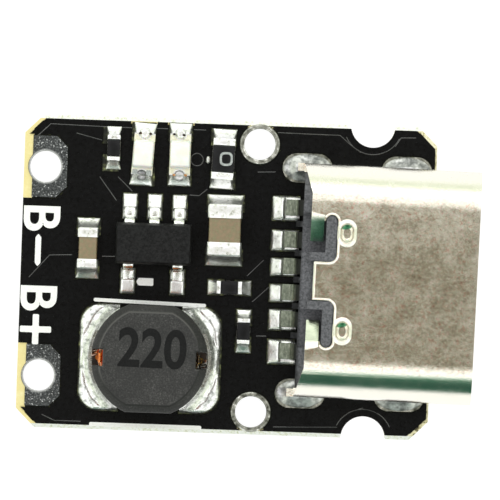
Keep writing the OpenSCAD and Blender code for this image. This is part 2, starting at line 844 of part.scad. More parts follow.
// Height of a contact's blade: it stands a little proud of the tongue's upper or lower face
function contact_z(i) = usb_h / 2 + (blade_up[i] ? tongue_t / 2 + blade_proud - contact_t
                                                : -tongue_t / 2 - blade_proud);

// Hollows in the tongue's sides for the plug's latches, h high
module latch_hollows(h) {
    for (s = [-1, 1])
        translate([latch_at, s * tongue_w / 2, usb_h / 2])
            cube([latch_l, 2 * latch_d, h], center = true);
}

module mid_plate() {
    difference() {
        translate([plate_rear, -tongue_w / 2, usb_h / 2 - plate_t / 2])
            cube([tongue_tip - plate_setback - plate_rear, tongue_w, plate_t]);
        latch_hollows(2 * plate_t);
        // holes that lock the plate in the moulding
        for (y = plate_hole_y)
            translate([plate_hole_x, y, usb_h / 2])
                cylinder(h = 2 * plate_t, r = plate_hole_r, center = true);
    }
}

module usb_housing() {
    c = shell_clearance;
    rear = housing_rear;
    root = [tongue_w + 2 * tongue_root_side, tongue_root_t];
    color("#3d3d40") usb_place()
        difference() {
            union() {
                // base that fills the shell
                along_x(rear, base_l) shell_section(shell_t + c);
                // part of the base that reaches down to the board behind the shell's floor
                translate([rear, -rear_notch_y + c, housing_lift])
                    cube([floor_rear_x - c - rear, 2 * (rear_notch_y - c), usb_h / 2]);
                // comb between the contacts
                for (i = [0:4])
                    translate([rear - comb_l, (pin_y[i] + pin_y[i + 1]) / 2 - comb_w / 2, housing_lift])
                        cube([2 * comb_l, comb_w, usb_h / 2]);
                // ribs in the roof openings
                for (s = [0, 1]) mirror([0, s, 0])
                    translate([0, 0, usb_h / 2]) linear_extrude(usb_h / 2 - rib_setback) rib_shape();
                // root of the tongue, and the tongue
                along_x(base_l - eps, base_l + tongue_root_l)
                    translate([0, usb_h / 2]) chamfer_rect(root[0], root[1], tongue_root_side);
                along_x(base_l - eps, tongue_tip)
                    translate([0, usb_h / 2]) square([tongue_w, tongue_t], center = true);
            }
            // hollows under the latch tabs
            for (s = [0, 1]) mirror([0, s, 0])
                translate([-comb_l, slot_in_y + slot_leg_w, usb_h - shell_t - tab_drop - tab_room])
                    cube([comb_l + slot_arm_x[0] + c, slot_arm_y + c - slot_in_y - slot_leg_w, usb_h]);
            dimple_form(shell_t + c);
            // chamfered edges of the tongue's tip
            for (f = [-1, 1])
                translate([tongue_tip, 0, usb_h / 2 + f * tongue_t / 2]) rotate([0, 45, 0])
                    cube([tip_chamfer * sqrt(2), 2 * tongue_w, tip_chamfer * sqrt(2)], center = true);
            mid_plate();
            latch_hollows(2 * tongue_t);
            for (i = [0:5]) contact(i);
        }
}

module usb_mid_plate() {
    color("#9a9a98") usb_place() mid_plate();
}

module usb_contact(i) {
    color("#8c9484") usb_place() contact(i);
}

// Inductor: z = 0 on the board, terminals at -x and +x

module inductor_place() {
    translate([inductor_at[0], inductor_at[1], top_z]) children();
}

module drum_outline(d, flat) {
    intersection() {
        circle(d / 2);
        square([2 * d, flat], center = true);
    }
}

module drum_solid() {
    b = drum_bevel;
    t = drum_terminal_t;
    difference() {
        intersection() {
            union() {
                translate([0, 0, t]) cylinder(h = foot_flange_t, r = drum_d / 2);
                translate([0, 0, t]) cylinder(h = drum_h - t - b, r = post_d / 2);
                translate([0, 0, drum_h - flange_t]) cylinder(h = flange_t - b, r = drum_d / 2);
                translate([0, 0, drum_h - b]) cylinder(h = b, r1 = drum_d / 2, r2 = drum_d / 2 - b);
            }
            // flats, with the same bevel
            translate([-drum_d, 0, 0]) rotate([90, 0, 90]) linear_extrude(2 * drum_d)
                polygon([[-drum_flat / 2, 0], [drum_flat / 2, 0], [drum_flat / 2, drum_h - b],
                         [drum_flat / 2 - b, drum_h], [-drum_flat / 2 + b, drum_h],
                         [-drum_flat / 2, drum_h - b]]);
        }
        // notches for the wire ends
        for (s = [-1, 1])
            translate([s * drum_d / 2, 0, 0])
                cube([2 * wire_notch_d, wire_notch_w, 3 * drum_h], center = true);
    }
}

module inductor_core() {
    color("#4a4a4b") inductor_place() drum_solid();
}

module winding_solid() {
    pitch = winding_room / turns;
    rotate_extrude() {
        translate([post_d / 2, winding_z0]) square([winding_r - post_d / 2, winding_room]);
        for (i = [0:turns - 1])
            translate([winding_r, winding_z0 + (i + 0.5) * pitch]) circle(pitch / 2 - turn_gap / 2);
    }
    // wire ends, led out of the winding and down the notches to the terminals
    z = winding_z0 + winding_room / 2;
    for (s = [0, 1]) mirror([s, 0, 0]) {
        translate([winding_r - wire_d, 0, z]) rotate([0, 90, 0])
            cylinder(h = wire_end_r - winding_r + wire_d, r = wire_lead_r);
        translate([wire_end_r, 0, drum_terminal_t])
            cylinder(h = z + wire_tail_rise - drum_terminal_t, r = wire_d / 2);
    }
}

module inductor_winding() {
    color("#b5652b") inductor_place() winding_solid();
}

// Terminal: a plate under the drum with an upturned lip in front of the wire notch
module terminal_solid(s) {
    t = drum_terminal_t;
    inner = inductor_land_gap / 2 + terminal_inset;
    intersection() {
        union() {
            linear_extrude(t) drum_outline(drum_d + 2 * t, drum_flat - terminal_narrower);
            linear_extrude(t + foot_flange_t * terminal_lip_share) difference() {
                drum_outline(drum_d + 2 * t, drum_flat * terminal_lip_w_share);
                circle(drum_d / 2);
            }
        }
        translate([s * (inner + drum_d / 2), 0, 0]) cube([drum_d, 2 * drum_d, 2 * drum_h], center = true);
    }
}

module inductor_terminal(s) {
    color("#c2c3c0") inductor_place() terminal_solid(s);
}

// Charger chip: x along its length, z = 0 on the board

module chip_place() {
    translate([chip_at[0], chip_at[1], top_z]) children();
}

// Lead number i of side s: three on the +y side and two on the -y side
module chip_lead(i, s) {
    rise = -chip_span / 2 + lead_foot;
    color("#c4c5c2") chip_place()
        translate([i * lead_pitch, 0, 0]) rotate(s > 0 ? -90 : 90)
            translate([0, lead_w / 2, 0]) rotate([90, 0, 0]) linear_extrude(lead_w)
                step_strip(-chip_span / 2, rise, -chip_w / 2 + lead_in_body, lead_z, lead_t, lead_bend_r);
}

module chip_body() {
    z_mid = lead_z + lead_t;
    color("#2b2b2c")
        difference() {
            chip_place() translate([0, 0, z_mid]) {
                tapered_block(chip_l, chip_w, chip_h - z_mid, body_end_draft, body_draft);
                mirror([0, 0, 1])
                    tapered_block(chip_l, chip_w, z_mid - chip_standoff, body_end_draft, body_draft);
            }
            for (i = [-1:1]) chip_lead(i, 1);
            for (i = [-1, 1]) chip_lead(i, -1);
        }
}

// Chip parts lie along X, centred, with z = 0 on the board

module on_board(place, turn = 90) {
    translate([place[0], place[1], top_z]) rotate(turn) children();
}

// Slab that cuts away all but the two end bands of a part
module between_bands(size, h, share) {
    cube([size[0] * (1 - 2 * share), 2 * size[1], 3 * h], center = true);
}

module ceramic_block(size, h) {
    w = cap_wall;
    translate([0, 0, w]) chamfer_box(size[0] - 2 * w, size[1] - 2 * w, h - 2 * w, ceramic_edge);
}

module ceramic_ends(size, h, share) {
    difference() {
        chamfer_box(size[0], size[1], h, end_edge);
        between_bands(size, h, share);
        ceramic_block(size, h);
    }
}

module resistor_base(size, h) {
    w = cap_wall;
    translate([0, 0, (h - coat_rise) / 2])
        cube([size[0] - 2 * w, size[1], h - coat_rise - 2 * w], center = true);
}

module resistor_coat(size, h) {
    w = cap_wall;
    band = size[0] * resistor_band_share;
    translate([0, 0, h - coat_rise - w])
        tapered_block(size[0] - 2 * band, size[1], coat_rise + w, coat_rise, coat_lean);
}

module resistor_ends(size, h) {
    w = cap_wall;
    hh = h - coat_rise;
    translate([0, 0, hh / 2]) difference() {
        cube([size[0], size[1], hh], center = true);
        between_bands(size, h, resistor_band_share);
        cube([size[0] - 2 * w, 2 * size[1], hh - 2 * w], center = true);
    }
}

module cap_body(place, size, h) {
    color("#a08f6c") on_board(place) ceramic_block(size, h);
}

module cap_ends(place, size, h, share) {
    color("#cfcfcb") on_board(place) ceramic_ends(size, h, share);
}

module chip_resistor_base(place, size, h, turn = 90) {
    color("#ece8de") on_board(place, turn) resistor_base(size, h);
}

module chip_resistor_coat(place, size, h, turn = 90) {
    color("#29292c") on_board(place, turn) resistor_coat(size, h);
}

module chip_resistor_ends(place, size, h, turn = 90) {
    color("#cfcfcb") on_board(place, turn) resistor_ends(size, h);
}

// LEDs

module castellations(grow) {
    for (s = [-1, 1])
        translate([s * led_l / 2, 0]) circle(castellation_r + grow);
}

module led_outline(wall) {
    difference() {
        square([led_l - 2 * wall, led_w], center = true);
        castellations(wall);
    }
}

module led_die_solid() {
    translate([-die_size[0] / 2, -die_size[1] / 2, led_base_h]) cube(die_size);
}

module led_base(place, turn) {
    color("#f1eedd") on_board(place, turn) linear_extrude(led_base_h) led_outline(cap_wall);
}

module led_ends(place, turn) {
    color("#cfcfcb") on_board(place, turn) linear_extrude(led_base_h) difference() {
        led_outline(0);
        led_outline(cap_wall);
    }
}

module led_die(place, turn) {
    color("#d98a4a") on_board(place, turn) led_die_solid();
}

module led_lens(place, turn) {
    color("#f6f2dc") on_board(place, turn) difference() {
        translate([0, 0, led_base_h])
            tapered_block(lens_l, led_w - lens_narrower, led_lens_h, lens_draft, lens_side_draft);
        led_die_solid();
    }
}

// Solder

// Fillets at both ends of a chip part
module end_fillets(size, past, rise) {
    l = past - 2 * solder_inset;
    w = size[1] + fillet_wider;
    for (s = [0, 1]) mirror([s, 0, 0])
        translate([size[0] / 2, w / 2, 0]) rotate([90, 0, 0]) linear_extrude(w)
            solder_section(l, rise, fillet_toe);
}

module capacitor_solder() {
    color("#dcdcda") {
        on_board(cap_small_at) end_fillets(cap_small, land_past, cap_small_h * small_climb);
        on_board(cap_large_at) end_fillets(cap_large, land_past, cap_large_h * large_climb);
    }
}

module resistor_solder() {
    color("#dcdcda") {
        on_board(link_at, link_tilt) end_fillets(link_size, land_past, link_h * resistor_climb);
        on_board(res_upper_at) end_fillets(res_size, land_past_small, res_h * resistor_climb);
        on_board(res_middle_at, 0) end_fillets(res_size, land_past_small, res_h * resistor_climb);
        on_board(res_lower_at) end_fillets(res_size, land_past_small, res_h * resistor_climb);
    }
}

module led_solder() {
    color("#dcdcda") {
        on_board(led_left_at, left_turn) end_fillets(led_size, land_past_led, led_base_h * led_climb);
        on_board(led_right_at, right_turn) end_fillets(led_size, land_past_led, led_base_h * led_climb);
    }
}

module chip_solder() {
    y = chip_reach - chip_land_l / 2;
    l = chip_land_l - 2 * solder_inset;
    w = chip_land_w - 2 * solder_inset;
    color("#dcdcda")
        difference() {
            chip_place() for (i = [-1:1], s = [-1, 1])
                if (s > 0 || i != 0)
                    translate([i * lead_pitch, s * y, 0])
                        tapered_block(w, l, chip_solder_h, chip_solder_taper[0], chip_solder_taper[1]);
            for (i = [-1:1]) chip_lead(i, 1);
            for (i = [-1, 1]) chip_lead(i, -1);
        }
}

module usb_pin_solder() {
    l = pin_land_l - 2 * solder_inset;
    color("#dcdcda")
        difference() {
            translate([(pin_land_x0 + pin_land_x1) / 2, usb_y, top_z]) for (i = [0:5])
                translate([0, pin_y[i], 0])
                    tapered_block(l, pin_land_w[i] - 2 * solder_inset, pin_solder_h,
                                  pin_solder_taper[0], pin_solder_taper[1]);
            usb_place() {
                for (i = [0:5]) contact(i);
                // room for the housing and its comb
                translate([housing_rear - comb_l - shell_clearance, -usb_w / 2, 0])
                    cube([base_l, usb_w, usb_h]);
            }
        }
}

module usb_leg_solder() {
    l = slot_land_l - 2 * leg_solder_inset;
    w = slot_land_w - 2 * leg_solder_inset;
    color("#dcdcda")
        difference() {
            union() {
                translate([0, 0, top_z]) leg_slot_places() intersection() {
                    linear_extrude(leg_solder_h) oval(l, w);
                    tapered_block(l, w, leg_solder_h, leg_solder_taper[0], leg_solder_taper[1]);
                }
                leg_slot_places() linear_extrude(top_z + eps) oval(slot_l, slot_w);
            }
            usb_place() {
                shell_legs();
                along_x(-base_l, usb_l) shell_section(-shell_clearance);
                // room for the housing
                translate([-base_l, -rear_notch_y, -board_t])
                    cube([2 * base_l, 2 * rear_notch_y, board_t + usb_h]);
            }
        }
}

module inductor_solder() {
    l = inductor_land[0] - 2 * inductor_solder_inset;
    w = inductor_land[1] - 2 * inductor_solder_inset;
    h = inductor_solder_h;
    color("#dcdcda")
        inductor_place() difference() {
            intersection() {
                linear_extrude(h) round_rect(l, w, inductor_land_r);
                tapered_block(l, w, h, inductor_solder_taper[0], inductor_solder_taper[1]);
            }
            cube([inductor_land_gap + 2 * inductor_solder_inset, 2 * w, 3 * h], center = true);
            cylinder(h = 3 * h, r = drum_d / 2, center = true);
            for (s = [-1, 1]) terminal_solid(s);
        }
}

laminate();
solder_mask_top();
solder_mask_bottom();
battery_land(1);  // battery_minus_land
battery_land(-1);  // battery_plus_land
edge_land(1);  // edge_land_upper
edge_land(-1);  // edge_land_lower
leg_slot_lands();
component_lands();
usb_shell();
usb_housing();
usb_mid_plate();
usb_contact(0);  // usb_contact_1
usb_contact(1);  // usb_contact_2
usb_contact(2);  // usb_contact_3
usb_contact(3);  // usb_contact_4
usb_contact(4);  // usb_contact_5
usb_contact(5);  // usb_contact_6
inductor_core();
inductor_winding();
inductor_terminal(-1);  // inductor_terminal_left
inductor_terminal(1);  // inductor_terminal_right
chip_body();
chip_lead(-1, 1);  // chip_lead_1
chip_lead(0, 1);  // chip_lead_2
chip_lead(1, 1);  // chip_lead_3
chip_lead(1, -1);  // chip_lead_4
chip_lead(-1, -1);  // chip_lead_5
cap_body(cap_small_at, cap_small, cap_small_h);  // small_capacitor_body
cap_ends(cap_small_at, cap_small, cap_small_h, band_share);  // small_capacitor_ends
cap_body(cap_large_at, cap_large, cap_large_h);  // large_capacitor_body
cap_ends(cap_large_at, cap_large, cap_large_h, large_band);  // large_capacitor_ends
chip_resistor_base(link_at, link_size, link_h, link_tilt);  // link_resistor_base
chip_resistor_coat(link_at, link_size, link_h, link_tilt);  // link_resistor_coat
chip_resistor_ends(link_at, link_size, link_h, link_tilt);  // link_resistor_ends
chip_resistor_base(res_upper_at, res_size, res_h);  // upper_resistor_base
chip_resistor_coat(res_upper_at, res_size, res_h);  // upper_resistor_coat
chip_resistor_ends(res_upper_at, res_size, res_h);  // upper_resistor_ends
chip_resistor_base(res_middle_at, res_size, res_h, 0);  // middle_resistor_base
chip_resistor_coat(res_middle_at, res_size, res_h, 0);  // middle_resistor_coat
chip_resistor_ends(res_middle_at, res_size, res_h, 0);  // middle_resistor_ends
chip_resistor_base(res_lower_at, res_size, res_h);  // lower_resistor_base
chip_resistor_coat(res_lower_at, res_size, res_h);  // lower_resistor_coat
chip_resistor_ends(res_lower_at, res_size, res_h);  // lower_resistor_ends
led_base(led_left_at, left_turn);  // left_led_base
led_lens(led_left_at, left_turn);  // left_led_lens
led_die(led_left_at, left_turn);  // left_led_die
led_ends(led_left_at, left_turn);  // left_led_ends
led_base(led_right_at, right_turn);  // right_led_base
led_lens(led_right_at, right_turn);  // right_led_lens
led_die(led_right_at, right_turn);  // right_led_die
led_ends(led_right_at, right_turn);  // right_led_ends
usb_pin_solder();
usb_leg_solder();
inductor_solder();
chip_solder();
capacitor_solder();
resistor_solder();
led_solder();
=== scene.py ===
# Lithium battery charger module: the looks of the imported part, in metres, in the part's own frame.
# Sizes in the dictionaries are millimetres where no note says otherwise.
import math

import bmesh
import bpy
from mathutils import Matrix, Vector, noise


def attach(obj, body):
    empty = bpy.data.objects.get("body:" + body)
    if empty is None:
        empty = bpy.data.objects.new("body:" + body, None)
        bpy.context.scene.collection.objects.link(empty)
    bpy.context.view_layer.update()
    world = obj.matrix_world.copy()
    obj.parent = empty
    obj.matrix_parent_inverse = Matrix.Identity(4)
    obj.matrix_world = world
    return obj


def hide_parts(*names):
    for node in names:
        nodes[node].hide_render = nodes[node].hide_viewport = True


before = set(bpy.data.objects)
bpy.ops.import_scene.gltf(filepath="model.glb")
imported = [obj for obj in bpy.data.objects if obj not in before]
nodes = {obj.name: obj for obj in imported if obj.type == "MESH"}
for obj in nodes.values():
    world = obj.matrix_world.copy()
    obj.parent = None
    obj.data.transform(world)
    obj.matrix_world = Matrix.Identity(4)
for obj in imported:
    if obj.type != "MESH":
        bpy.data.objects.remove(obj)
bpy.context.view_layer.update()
mm = 0.001
top = 1.2  # the board's upper face

parts = {  # middle of each part on the board and its turn in degrees
    "chip": (-2.84, 1.17, 0), "inductor": (-2.84, -3.22, 0),
    "smallCapacitor": (-5.35, 0.93, 90), "largeCapacitor": (-0.13, 1.79, 90),
    "link": (-0.28, 4.52, 88), "upperResistor": (-4.49, 4.8, 90),
    "middleResistor": (0.12, -0.4, 0), "lowerResistor": (0.72, -2.05, 90),
    "leftLed": (-3.35, 4.6, 87), "rightLed": (-1.94, 4.63, 90),
}
print("frame loaded:", len(nodes), "nodes")


# Materials

def colour(hexCode):
    channels = [int(hexCode[i:i + 2], 16) / 255 for i in (1, 3, 5)]
    return tuple(c / 12.92 if c <= 0.04045 else ((c + 0.055) / 1.055) ** 2.4 for c in channels) + (1.0,)


def addNode(tree, kind, inputs=None, stops=None, feeds=None, **settings):
    # inputs: socket to value, hex colour or the output that drives it; feeds: output to the input it drives
    node = tree.nodes.new("ShaderNode" + kind)
    for name, value in settings.items():
        setattr(node, name, value)
    if stops:  # (position, hex colour) pairs of a colour ramp
        elements = node.color_ramp.elements
        elements.remove(elements[1])
        elements[0].position, elements[0].color = stops[0][0], colour(stops[0][1])
        for position, hexCode in stops[1:]:
            elements.new(position).color = colour(hexCode)
    for key, value in (inputs or {}).items():
        if isinstance(value, bpy.types.NodeSocket):
            tree.links.new(value, node.inputs[key])
        else:
            node.inputs[key].default_value = colour(value) if isinstance(value, str) else value
    for key, socket in (feeds or {}).items():
        tree.links.new(node.outputs[key], socket)
    return node


def perMm(size):
    return 1 / (size * mm)  # texture scale for a pattern of that size in millimetres


def newMaterial(name, grains, relief=None, **surface):
    # grains: size in mm, detail, roughness and, where it has one, stretch of each noise pattern
    # relief: number of the grain that makes the bumps, their depth in mm and strength
    material = bpy.data.materials.new(name)
    material.use_nodes = True
    tree = material.node_tree
    sockets = tree.nodes["Principled BSDF"].inputs
    for key, value in surface.items():
        sockets[key.replace("_", " ")].default_value = value
    place = addNode(tree, "TexCoord").outputs["Object"]
    noises = []
    for size, detail, rough, *stretch in grains:
        where = place
        if stretch:
            where = addNode(tree, "Mapping", {"Vector": place, "Scale": stretch[0]}).outputs["Vector"]
        noises.append(addNode(tree, "TexNoise", {"Vector": where, "Scale": perMm(size), "Detail": detail,
                                                 "Roughness": rough}).outputs["Fac"])
    if relief:
        grain, depth, strength = relief
        addNode(tree, "Bump", {"Height": noises[grain], "Distance": depth * mm, "Strength": strength},
                feeds={"Normal": sockets["Normal"]})
    return material, tree, sockets, place, noises


# Finishes of one grain each. Grain and relief are as newMaterial takes them, tones are the grain's colours
evenFinishes = {
    # Fired silver ends under plated tin: off-white metal, softly dimpled
    "platedEndTin": {"surface": {"Metallic": 1.0, "Roughness": 0.32},
                     "grain": (0.12, 3.0, 0.6), "relief": (0.02, 0.8),
                     "tones": [(0.28, "#a9aaa0"), (0.4, "#eef0e8"), (0.55, "#ffffff")]},
    # Alumina substrate: chalky white ceramic with a snapped edge
    "aluminaCeramic": {"surface": {"Roughness": 0.6, "IOR": 1.76}, "grain": (0.05, 2.0, 0.6),
                       "tones": [(0.3, "#d8d5cb"), (0.7, "#f2f0e8")], "relief": (0.006, 0.5)},
    # Overglaze of a chip resistor: fired black glass, smooth, slightly uneven
    "resistorGlaze": {"surface": {"Roughness": 0.3, "IOR": 1.55, "Specular_IOR_Level": 0.2},
                      "grain": (0.2, 2.0, 0.5), "tones": [(0.3, "#0d0d0f"), (0.7, "#17171a")],
                      "relief": (0.012, 0.5)},
    # White circuit laminate under an LED: cream white, satin
    "ledSubstrate": {"surface": {"Roughness": 0.45, "IOR": 1.5}, "grain": (0.09, 2.0, 0.5),
                     "tones": [(0.3, "#e9e4c9"), (0.7, "#f8f6e6")]},
    # Milky moulded epoxy of an LED's lens: bright cream white, light passes into it
    "milkyEpoxy": {"surface": {"Roughness": 0.2, "IOR": 1.5, "Subsurface_Weight": 0.3,
                               "Subsurface_Scale": 0.0001, "Coat_Weight": 0.3},
                   "grain": (0.4, 2.0, 0.5), "tones": [(0.3, "#faf8ee"), (0.7, "#ffffff")],
                   "relief": (0.01, 0.3)},
    # LED die: a small orange-brown crystal with its bond pad
    "ledDie": {"surface": {"Roughness": 0.25, "IOR": 2.0}, "grain": (0.08, 2.0, 0.5),
               "tones": [(0.3, "#9c5a2a"), (0.7, "#d99a5a")]},
    # White legend ink, screen-printed: chalky, a little thin in places
    "legendInk": {"surface": {"Roughness": 0.5, "IOR": 1.5}, "grain": (0.09, 3.0, 0.6),
                  "tones": [(0.22, "#e6e7e5"), (0.45, "#ffffff")], "relief": (0.01, 0.5)},
    # Mask over the edge of the copper, thin there: its fine grey line is partly the thin mask over copper and
    # partly a painted highlight for the light it catches
    "maskOverCopperEdge": {
        "surface": {"Roughness": 0.22, "IOR": 1.6, "Coat_Weight": 1.0, "Coat_Roughness": 0.12},
        "grain": (0.5, 3.0, 0.6), "tones": [(0.4, "#0a0a0b"), (0.56, "#171718"), (0.7, "#3e3e3c")]},
    # Burnt rosin flux: dark brown, glossy, thick in places; in the inductor's notches it is partly painted
    # shade
    "burntFluxAndPaintedShade": {"surface": {"Roughness": 0.3, "IOR": 1.5}, "grain": (0.15, 3.0, 0.6),
                  "tones": [(0.35, "#0c0a08"), (0.6, "#2a1608"), (0.72, "#6b3a16")], "relief": (0.02, 0.6)},
    # Ink burnt into the ferrite and printed on the link: flat, taking the grain under it
    "inductorMarking": {"surface": {"Roughness": 0.6, "IOR": 1.5, "Specular_IOR_Level": 0.15},
                        "grain": (0.06, 3.0, 0.6), "tones": [(0.3, "#0f0f10"), (0.65, "#1b1b1c")],
                        "relief": (0.006, 0.5)},
    "resistorMarking": {"surface": {"Roughness": 0.6, "IOR": 1.5, "Specular_IOR_Level": 0.15},
                        "grain": (0.06, 3.0, 0.6), "tones": [(0.3, "#8f9494"), (0.65, "#c3c7c7")],
                        "relief": (0.006, 0.5)},
}


def makeEven(name):
    form = evenFinishes[name]
    relief = (0, *form["relief"]) if "relief" in form else None
    material, tree, sockets, _, (speck,) = newMaterial(name, [form["grain"]], relief, **form["surface"])
    addNode(tree, "ValToRGB", {"Fac": speck}, form["tones"], {"Color": sockets["Base Color"]})
    return material


def makeTin(name, tones, size, rough, depth, metallic=1.0):
    # Hot-dipped or reflowed tin: bright, wrinkled where it set, with duller patches of flux
    material, tree, sockets, _, (patches, _) = newMaterial(
        name, [(size * 1.6, 3.0, 0.6), (size, 3.0, 0.55)], (1, depth, 0.8), Metallic=metallic,
        Roughness=rough)
    addNode(tree, "ValToRGB", {"Fac": patches}, tones, {"Color": sockets["Base Color"]})
    addNode(tree, "MapRange", {"Value": patches, "From Min": 0.3, "From Max": 0.7, "To Min": rough + 0.12,
                               "To Max": max(rough - 0.08, 0.05)}, feeds={"Result": sockets["Roughness"]})
    return material


bareLaminate = {"rear": -7.56, "rearStrip": 2.78, "front": 7.82, "chamfer": 13.0, "edge": 5.76}


def makeLaminate():
    # Glass-fibre epoxy laminate, sawn: pale straw, with the plies showing as lines along the edges.
    # Bare only at the rear strips, the chamfers and the board's edge; olive where it shows in openings
    # of the mask, and dusty white where the edges were scored
    b = bareLaminate
    material, tree, sockets, place, (fibres,) = newMaterial(
        "glassFibreLaminate", [(0.12, 3.0, 0.6, (1, 1, 0.25))], (0, 0.02, 0.5), Roughness=0.6, IOR=1.5,
        Specular_IOR_Level=0.15)
    plies = addNode(tree, "TexWave", {"Vector": place, "Scale": perMm(0.9), "Distortion": 1.2,
                                      "Detail": 2.0}, bands_direction="Z").outputs["Fac"]
    blend = addNode(tree, "Mix", {0: 0.45, 2: plies, 3: fibres}, data_type="FLOAT").outputs[0]
    straw, grimy, olive, dusty = [
        addNode(tree, "ValToRGB", {"Fac": factor}, tones).outputs["Color"]
        for factor, tones in (
            (blend, [(0.25, "#f3e3a4"), (0.5, "#fdf4c6"), (0.75, "#fffce6")]),
            (blend, [(0.16, "#16160f"), (0.2, "#8d8664"), (0.24, "#e4dbae"), (0.3, "#faf4d6")]),
            (fibres, [(0.4, "#080807"), (0.6, "#14150d"), (0.75, "#3f4226")]),
            (fibres, [(0.3, "#d9dcc8"), (0.42, "#f6f6ec"), (0.52, "#ffffff")]))]
    axes = addNode(tree, "SeparateXYZ", {"Vector": place}).outputs
    across, along = [addNode(tree, "Math", {0: axes[name]}, operation="ABSOLUTE").outputs[0]
                     for name in "YX"]
    slant = addNode(tree, "Math", {0: along, 1: across}, operation="ADD").outputs[0]
    rear, beside, front, chamfer, edge, forward = [
        addNode(tree, "Math", {0: value, 1: limit * mm}, operation=side).outputs[0]
        for value, side, limit in (
            (axes["X"], "LESS_THAN", b["rear"]), (across, "GREATER_THAN", b["rearStrip"]),
            (axes["X"], "GREATER_THAN", b["front"]), (slant, "GREATER_THAN", b["chamfer"]),
            (across, "GREATER_THAN", b["edge"]), (axes["X"], "GREATER_THAN", 0))]
    bare = addNode(tree, "Math", {0: rear, 1: beside}, operation="MULTIPLY").outputs[0]
    for other in (front, chamfer, edge):
        bare = addNode(tree, "Math", {0: bare, 1: other}, operation="MAXIMUM").outputs[0]
    normal = addNode(tree, "NewGeometry").outputs["Normal"]
    upright = addNode(tree, "SeparateXYZ", {"Vector": normal}).outputs["Z"]
    tilt = addNode(tree, "Math", {0: upright}, operation="ABSOLUTE").outputs[0]
    flat, sloping = [addNode(tree, "Math", {0: tilt, 1: limit}, operation="GREATER_THAN").outputs[0]
                     for limit in (0.8, 0.2)]
    # the front corners are grimy
    cut = addNode(tree, "Mix", {0: forward, 6: straw, 7: grimy}, data_type="RGBA").outputs[2]
    face = addNode(tree, "Mix", {0: bare, 6: olive, 7: cut}, data_type="RGBA").outputs[2]
    side = addNode(tree, "Mix", {0: sloping, 6: straw, 7: dusty}, data_type="RGBA").outputs[2]
    addNode(tree, "Mix", {0: flat, 6: side, 7: face}, feeds={2: sockets["Base Color"]}, data_type="RGBA")
    return material


def makeMask():
    # Black solder mask, screen-printed epoxy ink: near black, half gloss, faintly uneven over the weave
    material, tree, sockets, _, (weave, dust, sheen) = newMaterial(
        "solderMaskInk", [(0.35, 2.0, 0.5), (0.03, 1.0, 0.3), (0.15, 2.0, 0.5)], (0, 0.01, 0.3),
        Roughness=0.3, IOR=1.5, Specular_IOR_Level=0.14)
    ink, specks = [addNode(tree, "ValToRGB", {"Fac": factor}, tones).outputs["Color"]
                   for factor, tones in ((weave, [(0.3, "#070708"), (0.7, "#0c0c0d")]),
                                         (dust, [(0.72, "#000000"), (0.8, "#3a3a3c")]))]
    addNode(tree, "Mix", {0: 1.0, 6: ink, 7: specks}, feeds={2: sockets["Base Color"]},
            data_type="RGBA", blend_type="ADD")
    addNode(tree, "MapRange", {"Value": sheen, "From Min": 0.3, "From Max": 0.7, "To Min": 0.24,
                               "To Max": 0.36}, feeds={"Result": sockets["Roughness"]})
    return material


shellCoatAndPaintedLight = {
    "paintedLight": (0.93, 0.99),  # how upright a face is where the painted reflection on the sides gives way to the roof's blotched tone
    "lip": (9.3, 9.62),  # where the mouth's lip is made lighter
    "tabs": {"Z": (4.24, 4.32), "inward": (3.0, 3.15), "X": (4.2, 4.3)},  # where the tabs' painted reflection ends
    # painted reflection: the tabs' green tones and the span across which they change
    "tabReflectionTones": ("#9aa08f", "#87a392"), "tabSides": (-1.2, 1.2),
    # painted reflection: where the green flank of each dimple lies, how far it reaches and its tone
    "dimpleDepth": (4.35, 4.36), "dimpleFlanks": ((4.47, 2.27, 4.33), (4.41, -1.47, 4.33)),
    "flankReach": (0.28, 0.33), "flankReflectionTone": "#4f8c6a", "brushed": (0.8, 3.3),
}


